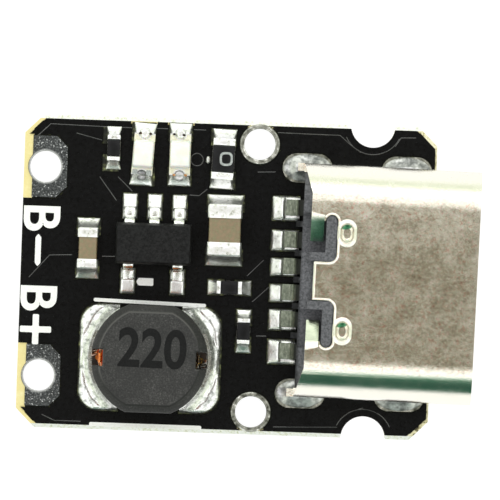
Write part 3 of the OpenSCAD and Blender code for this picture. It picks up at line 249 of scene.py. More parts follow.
def makeShellNickel():
    # Stamped steel strip, dull nickel plated: warm grey, blotched by handling, with faint rolling lines; its
    # sides, tabs and dimple flanks carry painted reflections
    c = shellCoatAndPaintedLight
    material, tree, sockets, place, (blotches, lines, tint) = newMaterial(
        "nickelPlatedSteel", [(0.7, 6.0, 0.7), (0.11, 5.0, 0.8, (0.75, 1, 1)), (0.2, 8.0, 0.95)],
        (1, 0.008, 0.7), Metallic=1.0, Roughness=0.26)
    wear = addNode(tree, "Mix", {0: 0.65, 2: blotches, 3: lines}, data_type="FLOAT").outputs[0]
    base, hue = [
        addNode(tree, "ValToRGB", {"Fac": factor}, tones).outputs["Color"]
        for factor, tones in (
            (wear, [(0.36, "#c2beb6"), (0.44, "#e3e0d9"), (0.52, "#f7f6f2"), (0.6, "#ffffff")]),
            (tint, [(0.38, "#cf8462"), (0.45, "#f4dfd2"), (0.5, "#dce6cf"), (0.55, "#f9f2ec"),
                    (0.62, "#e69c86")]))]
    mixed = addNode(tree, "Mix", {0: 0.9, 6: base, 7: hue}, data_type="RGBA",
                    blend_type="MULTIPLY").outputs[2]
    normal = addNode(tree, "NewGeometry").outputs["Normal"]
    upright = addNode(tree, "SeparateXYZ", {"Vector": normal}).outputs["Z"]
    axes = addNode(tree, "SeparateXYZ", {"Vector": place}).outputs
    inward = addNode(tree, "Math", {0: axes["Y"]}, operation="ABSOLUTE").outputs[0]
    where = {"X": axes["X"], "Z": axes["Z"], "inward": inward}
    # painted reflection: the sides and bends are painted nearly white, as they look when they reflect bright
    # surroundings, and the mouth's lip is made lighter too
    outsidePaintedReflection = addNode(tree, "MapRange", {"Value": upright, "From Min": c["paintedLight"][0],
                                         "From Max": c["paintedLight"][1]}).outputs["Result"]
    inside = addNode(tree, "MapRange", {"Value": axes["X"], "From Min": c["lip"][0] * mm, "To Min": 1.0,
                                        "From Max": c["lip"][1] * mm, "To Max": 0.3}).outputs["Result"]
    outsidePaintedReflection = addNode(tree, "Math", {0: outsidePaintedReflection, 1: inside}, operation="MULTIPLY").outputs[0]
    plated = addNode(tree, "Mix", {0: outsidePaintedReflection, 6: "#f6f3e8", 7: mixed}, data_type="RGBA").outputs[2]
    # painted reflection: the two latch tabs, bent down under the roof, are painted a darker green, in one
    # tone on the -Y side and another on the +Y side
    tab = 1.0
    for axis, (full, none) in c["tabs"].items():
        part = addNode(tree, "MapRange", {"Value": where[axis], "From Min": full * mm, "To Min": 1.0,
                                          "From Max": none * mm, "To Max": 0.0}).outputs["Result"]
        tab = addNode(tree, "Math", {0: tab, 1: part}, operation="MULTIPLY").outputs[0]
    side = addNode(tree, "MapRange", {"Value": axes["Y"], "From Min": c["tabSides"][0] * mm,
                                      "From Max": c["tabSides"][1] * mm}).outputs["Result"]
    tabReflection = addNode(tree, "Mix", {0: side, 6: c["tabReflectionTones"][0], 7: c["tabReflectionTones"][1]},
                   data_type="RGBA").outputs[2]
    plated = addNode(tree, "Mix", {0: tab, 6: plated, 7: tabReflection}, data_type="RGBA").outputs[2]
    # painted reflection: one flank of each dimple is painted green
    sunk = addNode(tree, "MapRange", {"Value": axes["Z"], "From Min": c["dimpleDepth"][0] * mm, "To Min": 1.0,
                                      "From Max": c["dimpleDepth"][1] * mm, "To Max": 0.0}).outputs["Result"]
    for centre in c["dimpleFlanks"]:
        away = addNode(tree, "VectorMath", {0: place, 1: [v * mm for v in centre]},
                       operation="DISTANCE").outputs["Value"]
        flank = addNode(tree, "MapRange", {"Value": away, "From Min": c["flankReach"][0] * mm, "To Min": 1.0,
                                           "From Max": c["flankReach"][1] * mm, "To Max": 0.0})
        flank = addNode(tree, "Math", {0: sunk, 1: flank.outputs["Result"]}, operation="MULTIPLY").outputs[0]
        plated = addNode(tree, "Mix", {0: flank, 6: plated, 7: c["flankReflectionTone"]}, data_type="RGBA").outputs[2]
    tree.links.new(plated, sockets["Base Color"])
    # brushed a little rougher towards the upper side, which looks brighter for it
    brushed = addNode(tree, "MapRange", {"Value": axes["Y"], "From Min": c["brushed"][0] * mm, "To Min": 0.0,
                                         "From Max": c["brushed"][1] * mm, "To Max": 0.09}).outputs["Result"]
    polish = addNode(tree, "MapRange", {"Value": blotches, "From Min": 0.35, "From Max": 0.65,
                                        "To Min": 0.12, "To Max": 0.22}).outputs["Result"]
    addNode(tree, "Math", {0: brushed, 1: polish}, feeds={0: sockets["Roughness"]}, operation="ADD")
    return material


def makeMoulded(name, dark, light, rough, shadeTo=-9):
    # Moulded liquid-crystal polymer or epoxy: matt, with the fine grain of its glass filler
    material, tree, sockets, place, (speck,) = newMaterial(name, [(0.09, 3.0, 0.75)], (0, 0.008, 0.6),
                                                           Roughness=rough, IOR=1.5, Specular_IOR_Level=0.16)
    moulded = addNode(tree, "ValToRGB", {"Fac": speck}, [(0.38, dark), (0.62, light)]).outputs["Color"]
    # grey only from shadeTo on, and darker behind it, where no light reaches between the contacts
    along = addNode(tree, "SeparateXYZ", {"Vector": place}).outputs["X"]
    lit = addNode(tree, "MapRange", {"Value": along, "From Min": (shadeTo - 0.16) * mm, "To Min": 0.16,
                                     "From Max": shadeTo * mm, "To Max": 1.0}).outputs["Result"]
    addNode(tree, "VectorMath", {0: moulded, "Scale": lit}, feeds={0: sockets["Base Color"]},
            operation="SCALE")
    return material


contactBend = (2.6, 2.68)  # where the contacts bend up, along the board


def makeContact():
    # Plated copper-alloy contact strip: greenish grey feet with fine cross marks from the die, and
    # dark where the strip bends up into the housing's shade
    material, tree, sockets, place, (marks,) = newMaterial(
        "platedContactStrip", [(0.07, 3.0, 0.7, (1, 0.5, 1))], (0, 0.008, 0.6), Metallic=0.8, Roughness=0.45)
    foot = addNode(tree, "ValToRGB", {"Fac": marks},
                   [(0.3, "#5f655a"), (0.5, "#7f8576"), (0.7, "#a6ab9c")]).outputs["Color"]
    along = addNode(tree, "SeparateXYZ", {"Vector": place}).outputs["X"]
    bend = addNode(tree, "MapRange", {"Value": along, "From Min": contactBend[0] * mm,
                                      "From Max": contactBend[1] * mm}).outputs["Result"]
    addNode(tree, "Mix", {0: bend, 6: foot, 7: "#2b2c2a"}, feeds={2: sockets["Base Color"]}, data_type="RGBA")
    return material


def makeFerrite():
    # Sintered ferrite: dark grey ceramic, matt, with a fine light grain, and painted light and shade on its
    # edges
    material, tree, sockets, _, (speck, cloud) = newMaterial(
        "sinteredFerrite", [(0.06, 3.0, 0.75), (0.7, 2.0, 0.5)], (0, 0.01, 0.7), Roughness=0.6, IOR=1.7,
        Specular_IOR_Level=0.3)
    blend = addNode(tree, "Mix", {0: 0.25, 2: speck, 3: cloud}, data_type="FLOAT").outputs[0]
    # the ground bevel is darker, partly for its ground finish and partly as painted shade; its upper rim has
    # a painted highlight on the side facing the light and painted shade on the other
    normal = addNode(tree, "NewGeometry").outputs["Normal"]
    upright = addNode(tree, "SeparateXYZ", {"Vector": normal}).outputs["Z"]
    facing = addNode(tree, "VectorMath", {0: normal, 1: (-0.5, 1, 0)},
                     operation="DOT_PRODUCT").outputs["Value"]
    paintedLight = addNode(tree, "MapRange", {"Value": facing, "From Min": -0.25, "From Max": 0.25}).outputs["Result"]
    body, groundAndShadedBevel, rim, rimLightAndShade = [
        addNode(tree, "ValToRGB", {"Fac": factor}, tones).outputs["Color"]
        for factor, tones in (
            (blend, [(0.36, "#151516"), (0.5, "#272626"), (0.6, "#3b3a3a"), (0.7, "#636161")]),
            (upright, [(0.6, "#ffffff"), (0.66, "#dadada"), (0.93, "#dadada"), (0.99, "#ffffff")]),
            (upright, [(0.76, "#000000"), (0.86, "#ffffff"), (0.97, "#ffffff"), (0.995, "#000000")]),
            (paintedLight, [(0.3, "#101010"), (0.7, "#4b4a49")]))]
    beveled = addNode(tree, "Mix", {0: 1.0, 6: body, 7: groundAndShadedBevel}, data_type="RGBA",
                      blend_type="MULTIPLY").outputs[2]
    addNode(tree, "Mix", {0: rim, 6: beveled, 7: rimLightAndShade}, feeds={2: sockets["Base Color"]}, data_type="RGBA")
    return material


darkerWire = (1.45, 1.75)  # from the inductor's middle towards its front notch


def makeCopper():
    # Enamelled copper wire: orange metal under clear varnish, ringed by its turns
    material, tree, sockets, place, (streaks,) = newMaterial(
        "enamelledCopper", [(0.08, 2.0, 0.5, (1, 1, 3))], (0, 0.006, 0.5), Metallic=1.0, Roughness=0.22,
        Coat_Weight=0.6, Coat_Roughness=0.08)
    fresh, darkerBrown = [
        addNode(tree, "ValToRGB", {"Fac": streaks}, tones).outputs["Color"]
        for tones in ([(0.3, "#b4561c"), (0.6, "#e2873c"), (0.8, "#ffb877")],
                      [(0.35, "#120d05"), (0.5, "#3d2a10"), (0.62, "#8a6a2c"), (0.75, "#c29a4c")])]
    # the wire towards the front notch is darker and browner
    along = addNode(tree, "SeparateXYZ", {"Vector": place}).outputs["X"]
    start, end = [(parts["inductor"][0] + reach) * mm for reach in darkerWire]
    towardsFrontNotch = addNode(tree, "MapRange", {"Value": along, "From Min": start, "From Max": end},
                      interpolation_type="SMOOTHSTEP").outputs["Result"]
    addNode(tree, "Mix", {0: towardsFrontNotch, 6: fresh, 7: darkerBrown}, feeds={2: sockets["Base Color"]}, data_type="RGBA")
    return material


def makeCeramic():
    # Fired capacitor ceramic: tan, fine and matt, with faint green and pink grains
    material, tree, sockets, _, (speck, tint) = newMaterial(
        "capacitorCeramic", [(0.07, 3.0, 0.65), (0.14, 2.0, 0.6)], (0, 0.006, 0.5), Roughness=0.42, IOR=1.7)
    base, hue = [addNode(tree, "ValToRGB", {"Fac": factor}, tones).outputs["Color"]
                 for factor, tones in ((speck, [(0.3, "#7a6a4e"), (0.7, "#938163")]),
                                       (tint, [(0.35, "#a38467"), (0.5, "#867556"), (0.65, "#788358")]))]
    addNode(tree, "Mix", {0: 0.4, 6: base, 7: hue}, feeds={2: sockets["Base Color"]}, data_type="RGBA")
    return material


batteryHole = {"at": (7.08, 4.0, 0.0), "radius": 0.58, "glowTo": 0.7}


def makeBatteryTin():
    # Levelled tin gone dull, sparkling in its grain, with a painted highlight where it runs into the plated
    # hole
    tones = [(0.3, "#2a2b2c"), (0.55, "#4f5152"), (0.64, "#7d7f80"), (0.7, "#ffffff")]
    material = makeTin("dullLandTin", tones, 0.035, 0.4, 0.03, 0.8)
    tree = material.node_tree
    base = tree.nodes["Principled BSDF"].inputs["Base Color"]
    place = addNode(tree, "TexCoord").outputs["Object"]
    mirrored = addNode(tree, "VectorMath", {0: place}, operation="ABSOLUTE").outputs[0]
    flat = addNode(tree, "VectorMath", {0: mirrored, 1: (1, 1, 0)}, operation="MULTIPLY").outputs[0]
    away = addNode(tree, "VectorMath", {0: flat, 1: [v * mm for v in batteryHole["at"]]},
                   operation="DISTANCE").outputs["Value"]
    near = addNode(tree, "MapRange", {"Value": away, "From Min": batteryHole["radius"] * mm, "To Min": 1.0,
                                      "From Max": batteryHole["glowTo"] * mm, "To Max": 0.0})
    # painted highlight: a near-white ring round each battery hole
    glow = addNode(tree, "Math", {0: near.outputs["Result"], 1: 1.6}, operation="POWER").outputs[0]
    addNode(tree, "Mix", {0: glow, 6: base.links[0].from_socket, 7: "#f4f4f4"}, feeds={2: base},
            data_type="RGBA")
    return material


finishes = {
    "laminate": makeLaminate(),
    "solder_mask": makeMask(),
    "battery_tin": makeBatteryTin(),
    "land_tin": makeTin("levelledLandTin", [(0.32, "#4a4b42"), (0.55, "#a9aaa0"), (0.66, "#f0f0ea")],
                        0.14, 0.3, 0.015),
    "shell_steel": makeShellNickel(),
    "housing_plastic": makeMoulded("mouldedHousing", "#4d4d51", "#74747a", 0.5, 2.9),
    "plate_steel": makeTin("springSteelPlate", [(0.32, "#7e7e7c"), (0.55, "#a3a3a0")], 0.12, 0.35, 0.005),
    "contact_metal": makeContact(),
    "ferrite": makeFerrite(),
    "copper_wire": makeCopper(),
    "terminal_tin": makeTin("terminalTin", [(0.32, "#8f928e"), (0.55, "#d9dbd7")], 0.12, 0.26, 0.01),
    "chip_epoxy": makeMoulded("mouldedEpoxy", "#0c0c0d", "#242425", 0.55),
    "lead_tin": makeTin("platedLeadTin", [(0.32, "#dfe3dc"), (0.55, "#f6f7f3")], 0.1, 0.2, 0.006),
    "capacitor_ceramic": makeCeramic(),
    "end_tin": makeEven("platedEndTin"),
    "alumina": makeEven("aluminaCeramic"),
    "resistor_glaze": makeEven("resistorGlaze"),
    "led_substrate": makeEven("ledSubstrate"),
    "led_resin": makeEven("milkyEpoxy"),
    "led_chip": makeEven("ledDie"),
    "solder": makeTin("reflowedSolder", [(0.28, "#b9bab8"), (0.38, "#ececea"), (0.5, "#ffffff")],
                      0.1, 0.36, 0.012),
}
wavySolder = makeTin("wavySolder", [(0.3, "#9a9c9a"), (0.42, "#d4d6d3"), (0.54, "#fafaf9")], 0.13, 0.3, 0.02)
dullSolder = makeTin("dullSolder", [(0.34, "#7c7d7e"), (0.46, "#a9a9ab"), (0.62, "#e6e5e8")], 0.2, 0.4, 0.02,
                     0.75)
stainedLand = makeTin("fluxStainedLand", [(0.36, "#0e0f09"), (0.5, "#26281a"), (0.62, "#5d6140"),
                                          (0.72, "#8f9466")], 0.12, 0.45, 0.01, 0.4)
legendInk = makeEven("legendInk")
fluxAndPaintedShade = makeEven("burntFluxAndPaintedShade")
pourEdge = makeEven("maskOverCopperEdge")
darkMarking = makeEven("inductorMarking")
paleMarking = makeEven("resistorMarking")

slotOf = {  # node names by how they start, or by how they end where the key starts with _
    "laminate": "laminate", "solder_mask": "solder_mask", "battery": "battery_tin", "edge_land": "land_tin",
    "leg_slot": "land_tin", "component_lands": "land_tin", "usb_shell": "shell_steel",
    "usb_housing": "housing_plastic", "usb_mid_plate": "plate_steel", "usb_contact": "contact_metal",
    "inductor_core": "ferrite", "inductor_winding": "copper_wire", "inductor_terminal": "terminal_tin",
    "chip_body": "chip_epoxy", "chip_lead": "lead_tin", "_capacitor_body": "capacitor_ceramic",
    "_resistor_base": "alumina", "_resistor_coat": "resistor_glaze", "_led_base": "led_substrate",
    "_led_lens": "led_resin", "_led_die": "led_chip", "_ends": "end_tin",  # every other node is solder
}


def slotFor(nodeName):
    for key, slot in slotOf.items():
        if nodeName.startswith(key) or key.startswith("_") and nodeName.endswith(key):
            return slot
    return "solder"


for name, node in nodes.items():
    node.data.materials.clear()
    node.data.materials.append(stainedLand if name == "component_lands" else finishes[slotFor(name)])
print("materials made:", len(bpy.data.materials))


# Shaping

def meshFrom(shape, name):
    mesh = bpy.data.meshes.new(name)
    shape.to_mesh(mesh)
    shape.free()
    return mesh


def addObject(name, data):
    holder = bpy.data.objects.new(name, data)
    bpy.context.scene.collection.objects.link(holder)
    return holder


def vertsOf(geom):
    return [g for g in geom if isinstance(g, bmesh.types.BMVert)]


def edgesOf(geom):
    return [g for g in geom if isinstance(g, bmesh.types.BMEdge)]


def finishPiece(name, shape, material, sharpAngle=38, replaced=()):
    # Makes a shape a piece of the part, smooth but for its sharp edges, in place of the nodes it replaces
    bmesh.ops.recalc_face_normals(shape, faces=shape.faces)
    mesh = meshFrom(shape, name)
    mesh.materials.append(material)
    mesh.shade_smooth()
    mesh.set_sharp_from_angle(angle=math.radians(sharpAngle))
    piece = addObject(name, mesh)
    weighted = piece.modifiers.new("weightedNormals", "WEIGHTED_NORMAL")
    weighted.keep_sharp, weighted.weight = True, 100
    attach(piece, "root")
    if replaced:
        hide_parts(*replaced)
    return piece


def copyOf(mesh):
    # The mesh as an editable shape, without doubled points and needless edges
    shape = bmesh.new()
    shape.from_mesh(mesh)
    bmesh.ops.remove_doubles(shape, verts=shape.verts, dist=0.001 * mm)
    bmesh.ops.dissolve_limit(shape, angle_limit=math.radians(1), verts=shape.verts, edges=shape.edges)
    return shape


def roundEdges(shape, width, segments, sharper, blunter=180, wanted=None):
    # Rounds the edges that turn by more than sharper and less than blunter degrees
    chosen = [e for e in shape.edges if len(e.link_faces) == 2
              and sharper < math.degrees(e.calc_face_angle(0)) < blunter
              and (not wanted or all(wanted(v.co) for v in e.verts))]
    bmesh.ops.bevel(shape, geom=chosen, offset=width * mm, offset_type="OFFSET", affect="EDGES",
                    segments=segments, profile=0.5, material=-1, clamp_overlap=True)
    return len(chosen)


def meshOf(curve):
    # A curve or text turned into a mesh
    holder = addObject(curve.name, curve)
    bpy.context.view_layer.update()
    mesh = bpy.data.meshes.new_from_object(holder)
    bpy.data.objects.remove(holder)
    return mesh


def carve(shape, tool, operation):
    # The shape with a tool body cut away or joined on
    holders = []
    for part in (shape, tool):
        bmesh.ops.recalc_face_normals(part, faces=part.faces)
        holders.append(addObject("carved", meshFrom(part, "carved")))
    cut = holders[0].modifiers.new("cut", "BOOLEAN")
    cut.operation, cut.object, cut.solver = operation, holders[1], "EXACT"
    bpy.context.view_layer.update()
    mesh = bpy.data.meshes.new_from_object(holders[0].evaluated_get(bpy.context.evaluated_depsgraph_get()))
    result = copyOf(mesh)
    for holder in holders:
        bpy.data.objects.remove(holder)
    bpy.data.meshes.remove(mesh)
    return result


def softCopy(nodeName, width):
    # A copy of a CAD node with its sharp edges rounded by width, in millimetres
    shape = copyOf(nodes[nodeName].data)
    roundEdges(shape, width, 2, 30)
    slot = slotFor(nodeName)
    return finishPiece(nodeName + "_soft", shape, finishes[slot], replaced=(nodeName,))


def addMesh(shape, mesh, matrix):
    # Joins a mesh onto the shape and lets go of it
    mesh.transform(matrix)
    shape.from_mesh(mesh)
    bpy.data.meshes.remove(mesh)


def addPlate(shape, matrix, outline, corner, thickness):
    # A thin printed shape: its outline in millimetres, with rounded corners
    plate = bmesh.new()
    corners = [plate.verts.new((x, y, 0)) for x, y in outline]
    plate.faces.new(corners)
    if corner:
        bmesh.ops.bevel(plate, geom=corners, offset=corner, offset_type="OFFSET", affect="VERTICES",
                        segments=4, profile=0.5, material=-1)
    raised = bmesh.ops.extrude_face_region(plate, geom=plate.faces[:])["geom"]
    bmesh.ops.translate(plate, verts=vertsOf(raised), vec=(0, 0, thickness))
    addMesh(shape, meshFrom(plate, "plate"), matrix)


def onBoard(x, y, turn=0, lift=0.0):
    # From a part's own millimetres to its place on the board, in metres
    place = Matrix.Translation((x * mm, y * mm, (top + lift) * mm))
    return place @ Matrix.Rotation(math.radians(turn), 4, "Z") @ Matrix.Scale(mm, 4)


def ripple(x, y, size, depth, seed=0.0):
    # Unevenness of set solder
    return depth * noise.noise(Vector((x / size, y / size, seed)))


skirtDepth = 0.02  # how far a hump of solder reaches into what carries it


def addGrid(shape, cells):
    return bmesh.ops.create_grid(shape, x_segments=cells[0], y_segments=cells[1], size=1)["verts"]


def addMound(shape, matrix, cells, point):
    # A closed hump of solder: point(u, v) gives x, y and height in millimetres for u and v from -1 to 1
    made = addGrid(shape, cells)
    for v in made:
        v.co = Vector(point(v.co.x, v.co.y))
    rim = [e for e in {e for v in made for e in v.link_edges} if e.is_boundary]
    skirt = bmesh.ops.extrude_edge_only(shape, edges=rim)["geom"]
    foot = vertsOf(skirt)
    for v in foot:
        v.co.z = -skirtDepth
    bmesh.ops.contextual_create(shape, geom=[e for e in edgesOf(skirt) if e.is_boundary])
    bmesh.ops.transform(shape, matrix=matrix, verts=made + foot)


def smoothStep(low, high, x):
    t = min(max((x - low) / (high - low), 0.0), 1.0)
    return t * t * (3 - 2 * t)


def dome(u, power=4):
    # A rounded profile, 1 in the middle and 0 at the rim
    return max(1 - abs(u) ** power, 0.0) ** 0.5


def onDisc(u, v):
    # A point of the square mapped to the round disc
    return u * math.sqrt(1 - v * v / 2), v * math.sqrt(1 - u * u / 2)


def arc(x, y, across, down, first, last, steps):
    # Points of an oval arc round x and y, from the first to the last degree
    turns = [math.radians(first + (last - first) * i / steps) for i in range(steps + 1)]
    return [(x + across * math.cos(a), y + down * math.sin(a)) for a in turns]


# Solder

filletForms = {  # part: half length, width, land past the end, height up the end
    "smallCapacitor": (0.8, 0.8, 0.38, 0.5), "largeCapacitor": (1.0, 1.32, 0.38, 0.62),
    "link": (0.79, 0.85, 0.38, 0.36), "upperResistor": (0.5, 0.5, 0.35, 0.28),
    "middleResistor": (0.5, 0.5, 0.35, 0.28), "lowerResistor": (0.5, 0.5, 0.35, 0.28),
    "leftLed": (0.8, 0.8, 0.42, 0.26), "rightLed": (0.8, 0.8, 0.42, 0.26),
}
filletShape = {"under": 0.03, "flare": 0.04, "hollow": 2.1, "lip": 0.06, "sideDrop": 0.35,
               "waves": (0.25, 0.008), "cells": (18, 18)}


def addFillets(shape, name):
    s = filletShape
    half, width, past, rise = filletForms[name]
    x0, y0, turn = parts[name]
    for end in (0, 180):
        seed = x0 + 3 * y0 + end

        def point(u, v):
            t = (u + 1) / 2
            x = half - s["under"] + (past + 0.01) * t
            y = v * (0.5 * width + s["flare"] * smoothStep(0.2, 1.0, t))
            side = 1 - s["sideDrop"] * abs(v) ** 5
            z = (rise * (1 - t) ** s["hollow"] + s["lip"] * dome(t, 6)) * side * (1 - abs(v) ** 24)
            return x, y, max(z + ripple(x, y, *s["waves"], seed) * dome(v, 6) * dome(t, 8), 0.0)

        addMound(shape, onBoard(x0, y0, turn + end), s["cells"], point)


for nodeName, names in {"capacitor_solder": ("smallCapacitor", "largeCapacitor"),
                        "resistor_solder": ("link", "upperResistor", "middleResistor", "lowerResistor"),
                        "led_solder": ("leftLed", "rightLed")}.items():
    shape = bmesh.new()
    for name in names:
        addFillets(shape, name)
    finishPiece(nodeName + "_fillets", shape, finishes["solder"], 80, (nodeName,))

pinSolder = {"x": (1.66, 2.72), "y": (2.71, 1.48, 0.46, -0.54, -1.56, -2.79),
             "width": (0.94, 0.8, 0.68, 0.68, 0.8, 0.94), "height": 0.24, "lip": 0.05,
             "footStart": (2.08, 2.16), "footEdge": (0.25, 0.33), "underFoot": 0.1, "besideFoot": 0.15,
             "waves": (0.3, 0.014), "cells": (24, 20)}


def makePinSolder():
    s = pinSolder
    shape = bmesh.new()
    for i, (y0, width) in enumerate(zip(s["y"], s["width"])):
        def point(u, v):
            (low, high), lip = s["x"], s["lip"]
            x = low + (high - low) * (u + 1) / 2
            y = v * width / 2
            slope = min((x - low) / (s["footStart"][0] - low), 1.0)
            bulge = (lip + (s["height"] - lip) * slope) * dome(v) * smoothStep(low, low + lip, x)
            beyond = smoothStep(*s["footStart"], x)
            onFoot = 1 - smoothStep(*s["footEdge"], abs(y))
            foot = s["underFoot"] * onFoot + (1 - onFoot) * s["besideFoot"] * dome(v)
            z = (bulge * (1 - beyond) + beyond * foot) * (1 - abs(v) ** 30)
            return x, y, max(z + ripple(x, y + y0, *s["waves"], i) * dome(u) * dome(v), 0.0)
        addMound(shape, onBoard(0, y0), s["cells"], point)
    return finishPiece("usb_pin_solder_mounds", shape, finishes["solder"], 80, ("usb_pin_solder",))


makePinSolder()

chipSolder = {"pitch": 0.95, "tip": 1.4, "end": 1.92, "inner": 0.94, "width": 0.56,
              "tipEdge": (1.28, 1.42), "leadEdge": (0.17, 0.25),
              "height": {1: 0.2, -1: 0.14}, "fall": {1: 0.7, -1: 0.4}, "beside": 0.07, "waves": (0.25, 0.006),
              "cells": (16, 24)}


def makeChipSolder():
    s = chipSolder
    x0, y0, _ = parts["chip"]
    shape = bmesh.new()
    for i, side in ((-1, 1), (0, 1), (1, 1), (1, -1), (-1, -1)):
        def point(u, v):
            y = s["inner"] + (s["end"] - s["inner"]) * (v + 1) / 2
            x = u * s["width"] / 2
            front = smoothStep(*s["tipEdge"], y)
            beside = smoothStep(*s["leadEdge"], abs(x))
            rim = dome(u, 8) * dome(v, 10)
            away = min(max((y - s["tip"]) / (s["end"] - s["tip"]), 0.0), 1.0)
            ahead = front * s["height"][side] * (1 - s["fall"][side] * away)
            z = rim * (ahead + (1 - front) * s["beside"] * beside)
            return x, y, max(z + ripple(x, y, *s["waves"], i + side) * rim, 0.0)
        turn = 0 if side > 0 else 180
        addMound(shape, onBoard(x0 + i * s["pitch"], y0, turn), s["cells"], point)
    return finishPiece("chip_solder_mounds", shape, finishes["solder"], 80, ("chip_solder",))


makeChipSolder()

drumSolder = {"halfLength": 2.7, "halfWidth": 2.04, "corner": 0.8, "inner": 1.2, "drum": 2.23, "height": 0.42,
              "flat": 0.07, "edgeRoll": 0.16, "climb": (0.2, 1.1), "ridge": (0.035, 0.48, 0.16),
              "crease": (0.022, 0.4, 0.045), "creaseWaves": (0.5, 0.12), "waves": (0.3, 0.012),
              "cells": (64, 72)}


def makeDrumSolder():
    s = drumSolder
    x0, y0, _ = parts["inductor"]
    shape = bmesh.new()
    for side in (0, 180):
        def point(u, v):
            y = v * s["halfWidth"]
            corner = max(abs(y) - (s["halfWidth"] - s["corner"]), 0.0)
            outer = s["halfLength"] - s["corner"] + math.sqrt(max(s["corner"] ** 2 - corner ** 2, 0.0))
            x = s["inner"] + (outer - s["inner"]) * (u + 1) / 2
            away = max(math.hypot(x, y) - s["drum"], 0.0)
            edge = min((outer - x) / s["edgeRoll"], (s["halfWidth"] - abs(y)) / s["edgeRoll"], 1.0)
            roll = math.sqrt(max(1 - (1 - max(edge, 0.0)) ** 2, 0.0))
            reach, power = s["climb"]
            z = s["flat"] + s["height"] * math.exp(-(away / reach) ** power)
            height, middle, width = s["ridge"]
            z += height * math.exp(-((away - middle) / width) ** 2)
            depth, middle, width = s["crease"]
            z -= depth * math.exp(-((away - middle - ripple(x, y, *s["creaseWaves"], side)) / width) ** 2)
            return x, y, max(z * roll + ripple(x, y, *s["waves"], side) * roll, 0.0)
        addMound(shape, onBoard(x0, y0, side), s["cells"], point)
    return finishPiece("inductor_solder_pads", shape, wavySolder, 80, ("inductor_solder",))


makeDrumSolder()

legSolder = {"at": (4.86, -0.04), "pitch": 3.8, "legY": 4.32, "length": 1.88, "width": 1.08,
             "leg": (0.45, 0.15), "height": 0.24, "lip": 0.05, "climb": 0.2, "waves": (0.3, 0.014),
             "cells": (28, 28)}


def makeLegSolder():
    s = legSolder
    shape = copyOf(nodes["usb_leg_solder"].data)  # its lower part still fills the slots
    everything = shape.verts[:] + shape.edges[:] + shape.faces[:]
    cut = bmesh.ops.bisect_plane(shape, geom=everything, dist=1e-7, plane_co=(0, 0, (top - 0.002) * mm),
                                 plane_no=(0, 0, 1), clear_outer=True)
    bmesh.ops.holes_fill(shape, edges=edgesOf(cut["geom_cut"]))
    for i, (sx, sy) in enumerate(((-1, 1), (1, 1), (-1, -1), (1, -1))):
        def point(u, v):
            px, py = onDisc(u, v)  # stretched to the oval land
            x, y = px * s["length"] / 2, py * s["width"] / 2
            away = math.hypot(max(abs(x) - s["leg"][0], 0.0), max(abs(y) - s["leg"][1], 0.0))
            reach = math.hypot(px, py)
            climb = s["height"] * math.exp(-away / s["climb"]) * (1 - reach ** 6)
            return x, y, max((climb + s["lip"] + ripple(x, y, *s["waves"], i)) * dome(reach, 8), 0.0)
        x, y = s["at"][0] + sx * s["pitch"] / 2, s["at"][1] + sy * s["legY"]
        addMound(shape, onBoard(x, y), s["cells"], point)
    return finishPiece("usb_leg_solder_mounds", shape, dullSolder, 80, ("usb_leg_solder",))


makeLegSolder()
print("solder shaped")


# Softened copies of the parts whose edges show

softWidths = {
    "inductor_core": 0.05, "chip_body": 0.03,
    "small_capacitor_body": 0.03, "large_capacitor_body": 0.03, "small_capacitor_ends": 0.05,
    "large_capacitor_ends": 0.07, "link_resistor_ends": 0.03, "upper_resistor_ends": 0.025,
    "middle_resistor_ends": 0.025, "lower_resistor_ends": 0.025, "link_resistor_coat": 0.02,
    "upper_resistor_coat": 0.015, "middle_resistor_coat": 0.015, "lower_resistor_coat": 0.015,
    "left_led_lens": 0.06, "right_led_lens": 0.06, "edge_land_upper": 0.04, "edge_land_lower": 0.04,
    "battery_minus_land": 0.03, "battery_plus_land": 0.03,
}
for lead in range(1, 6):
    softWidths[f"chip_lead_{lead}"] = 0.03
for contact in range(1, 7):
    softWidths[f"usb_contact_{contact}"] = 0.02
for name, width in softWidths.items():
    softCopy(name, width)
print("edges softened:", len(softWidths))

shellForm = {
    "at": (4.86, -0.04), "back": 2.1, "turn": -1.0, "roof": 3.16,
    "tabRoot": 2.54, "middleEdge": 0.51, "middleHalf": 0.73, "near": 0.02, "clear": 0.5,
    "edgeRound": 0.06, "bendRound": 0.14, "bendLow": 1.9,
    "corner": ((0.0, 4.5), (0.37, 3.3), (-0.6, 3.3), (-0.6, 4.5)),
}
shellPlace = onBoard(*shellForm["at"], shellForm["turn"]) @ Matrix.Translation((-shellForm["back"], 0, 0))


def makeShell():
    # The stamped shell with its bends and cut edges rounded
    s = shellForm
    back = shellPlace.inverted()
    # the rear corners of its sides are cut off slantwise
    corners = bmesh.new()
    for side in (1, -1):
        outline = [(x, side * y) for x, y in s["corner"]]
        addPlate(corners, shellPlace @ Matrix.Translation((0, 0, s["bendLow"])), outline, 0, 2)
    shape = carve(copyOf(nodes["usb_shell"].data), corners, "DIFFERENCE")

    def onRoof(at):
        return at.z > s["roof"] - s["near"]

    def atTabRoot(co):
        at = back @ co
        return abs(abs(at.y) - s["tabRoot"]) < s["near"] and onRoof(at)

    def atMiddleEdge(co):
        at = back @ co
        return abs(at.x - s["middleEdge"]) < s["near"] and abs(at.y) < s["middleHalf"] + 0.03 and onRoof(at)

    def clearOfDimples(co):
        at = back @ co
        return math.hypot(at.x - dimples["at"][0], abs(at.y) - dimples["at"][1]) > s["clear"]

    print("shell edges rounded:", roundEdges(shape, s["bendRound"], 4, 15, 35, atTabRoot),
          roundEdges(shape, s["bendRound"], 3, 60, wanted=atMiddleEdge),
          roundEdges(shape, s["edgeRound"], 3, 50, wanted=clearOfDimples))
    finishPiece("usb_shell_soft", shape, finishes["shell_steel"], 26, ("usb_shell",))


housingRibs = {"at": (1.155, 1.6), "length": 1.72, "width": 0.4, "top": 3.139, "low": 2.7, "round": 0.025}


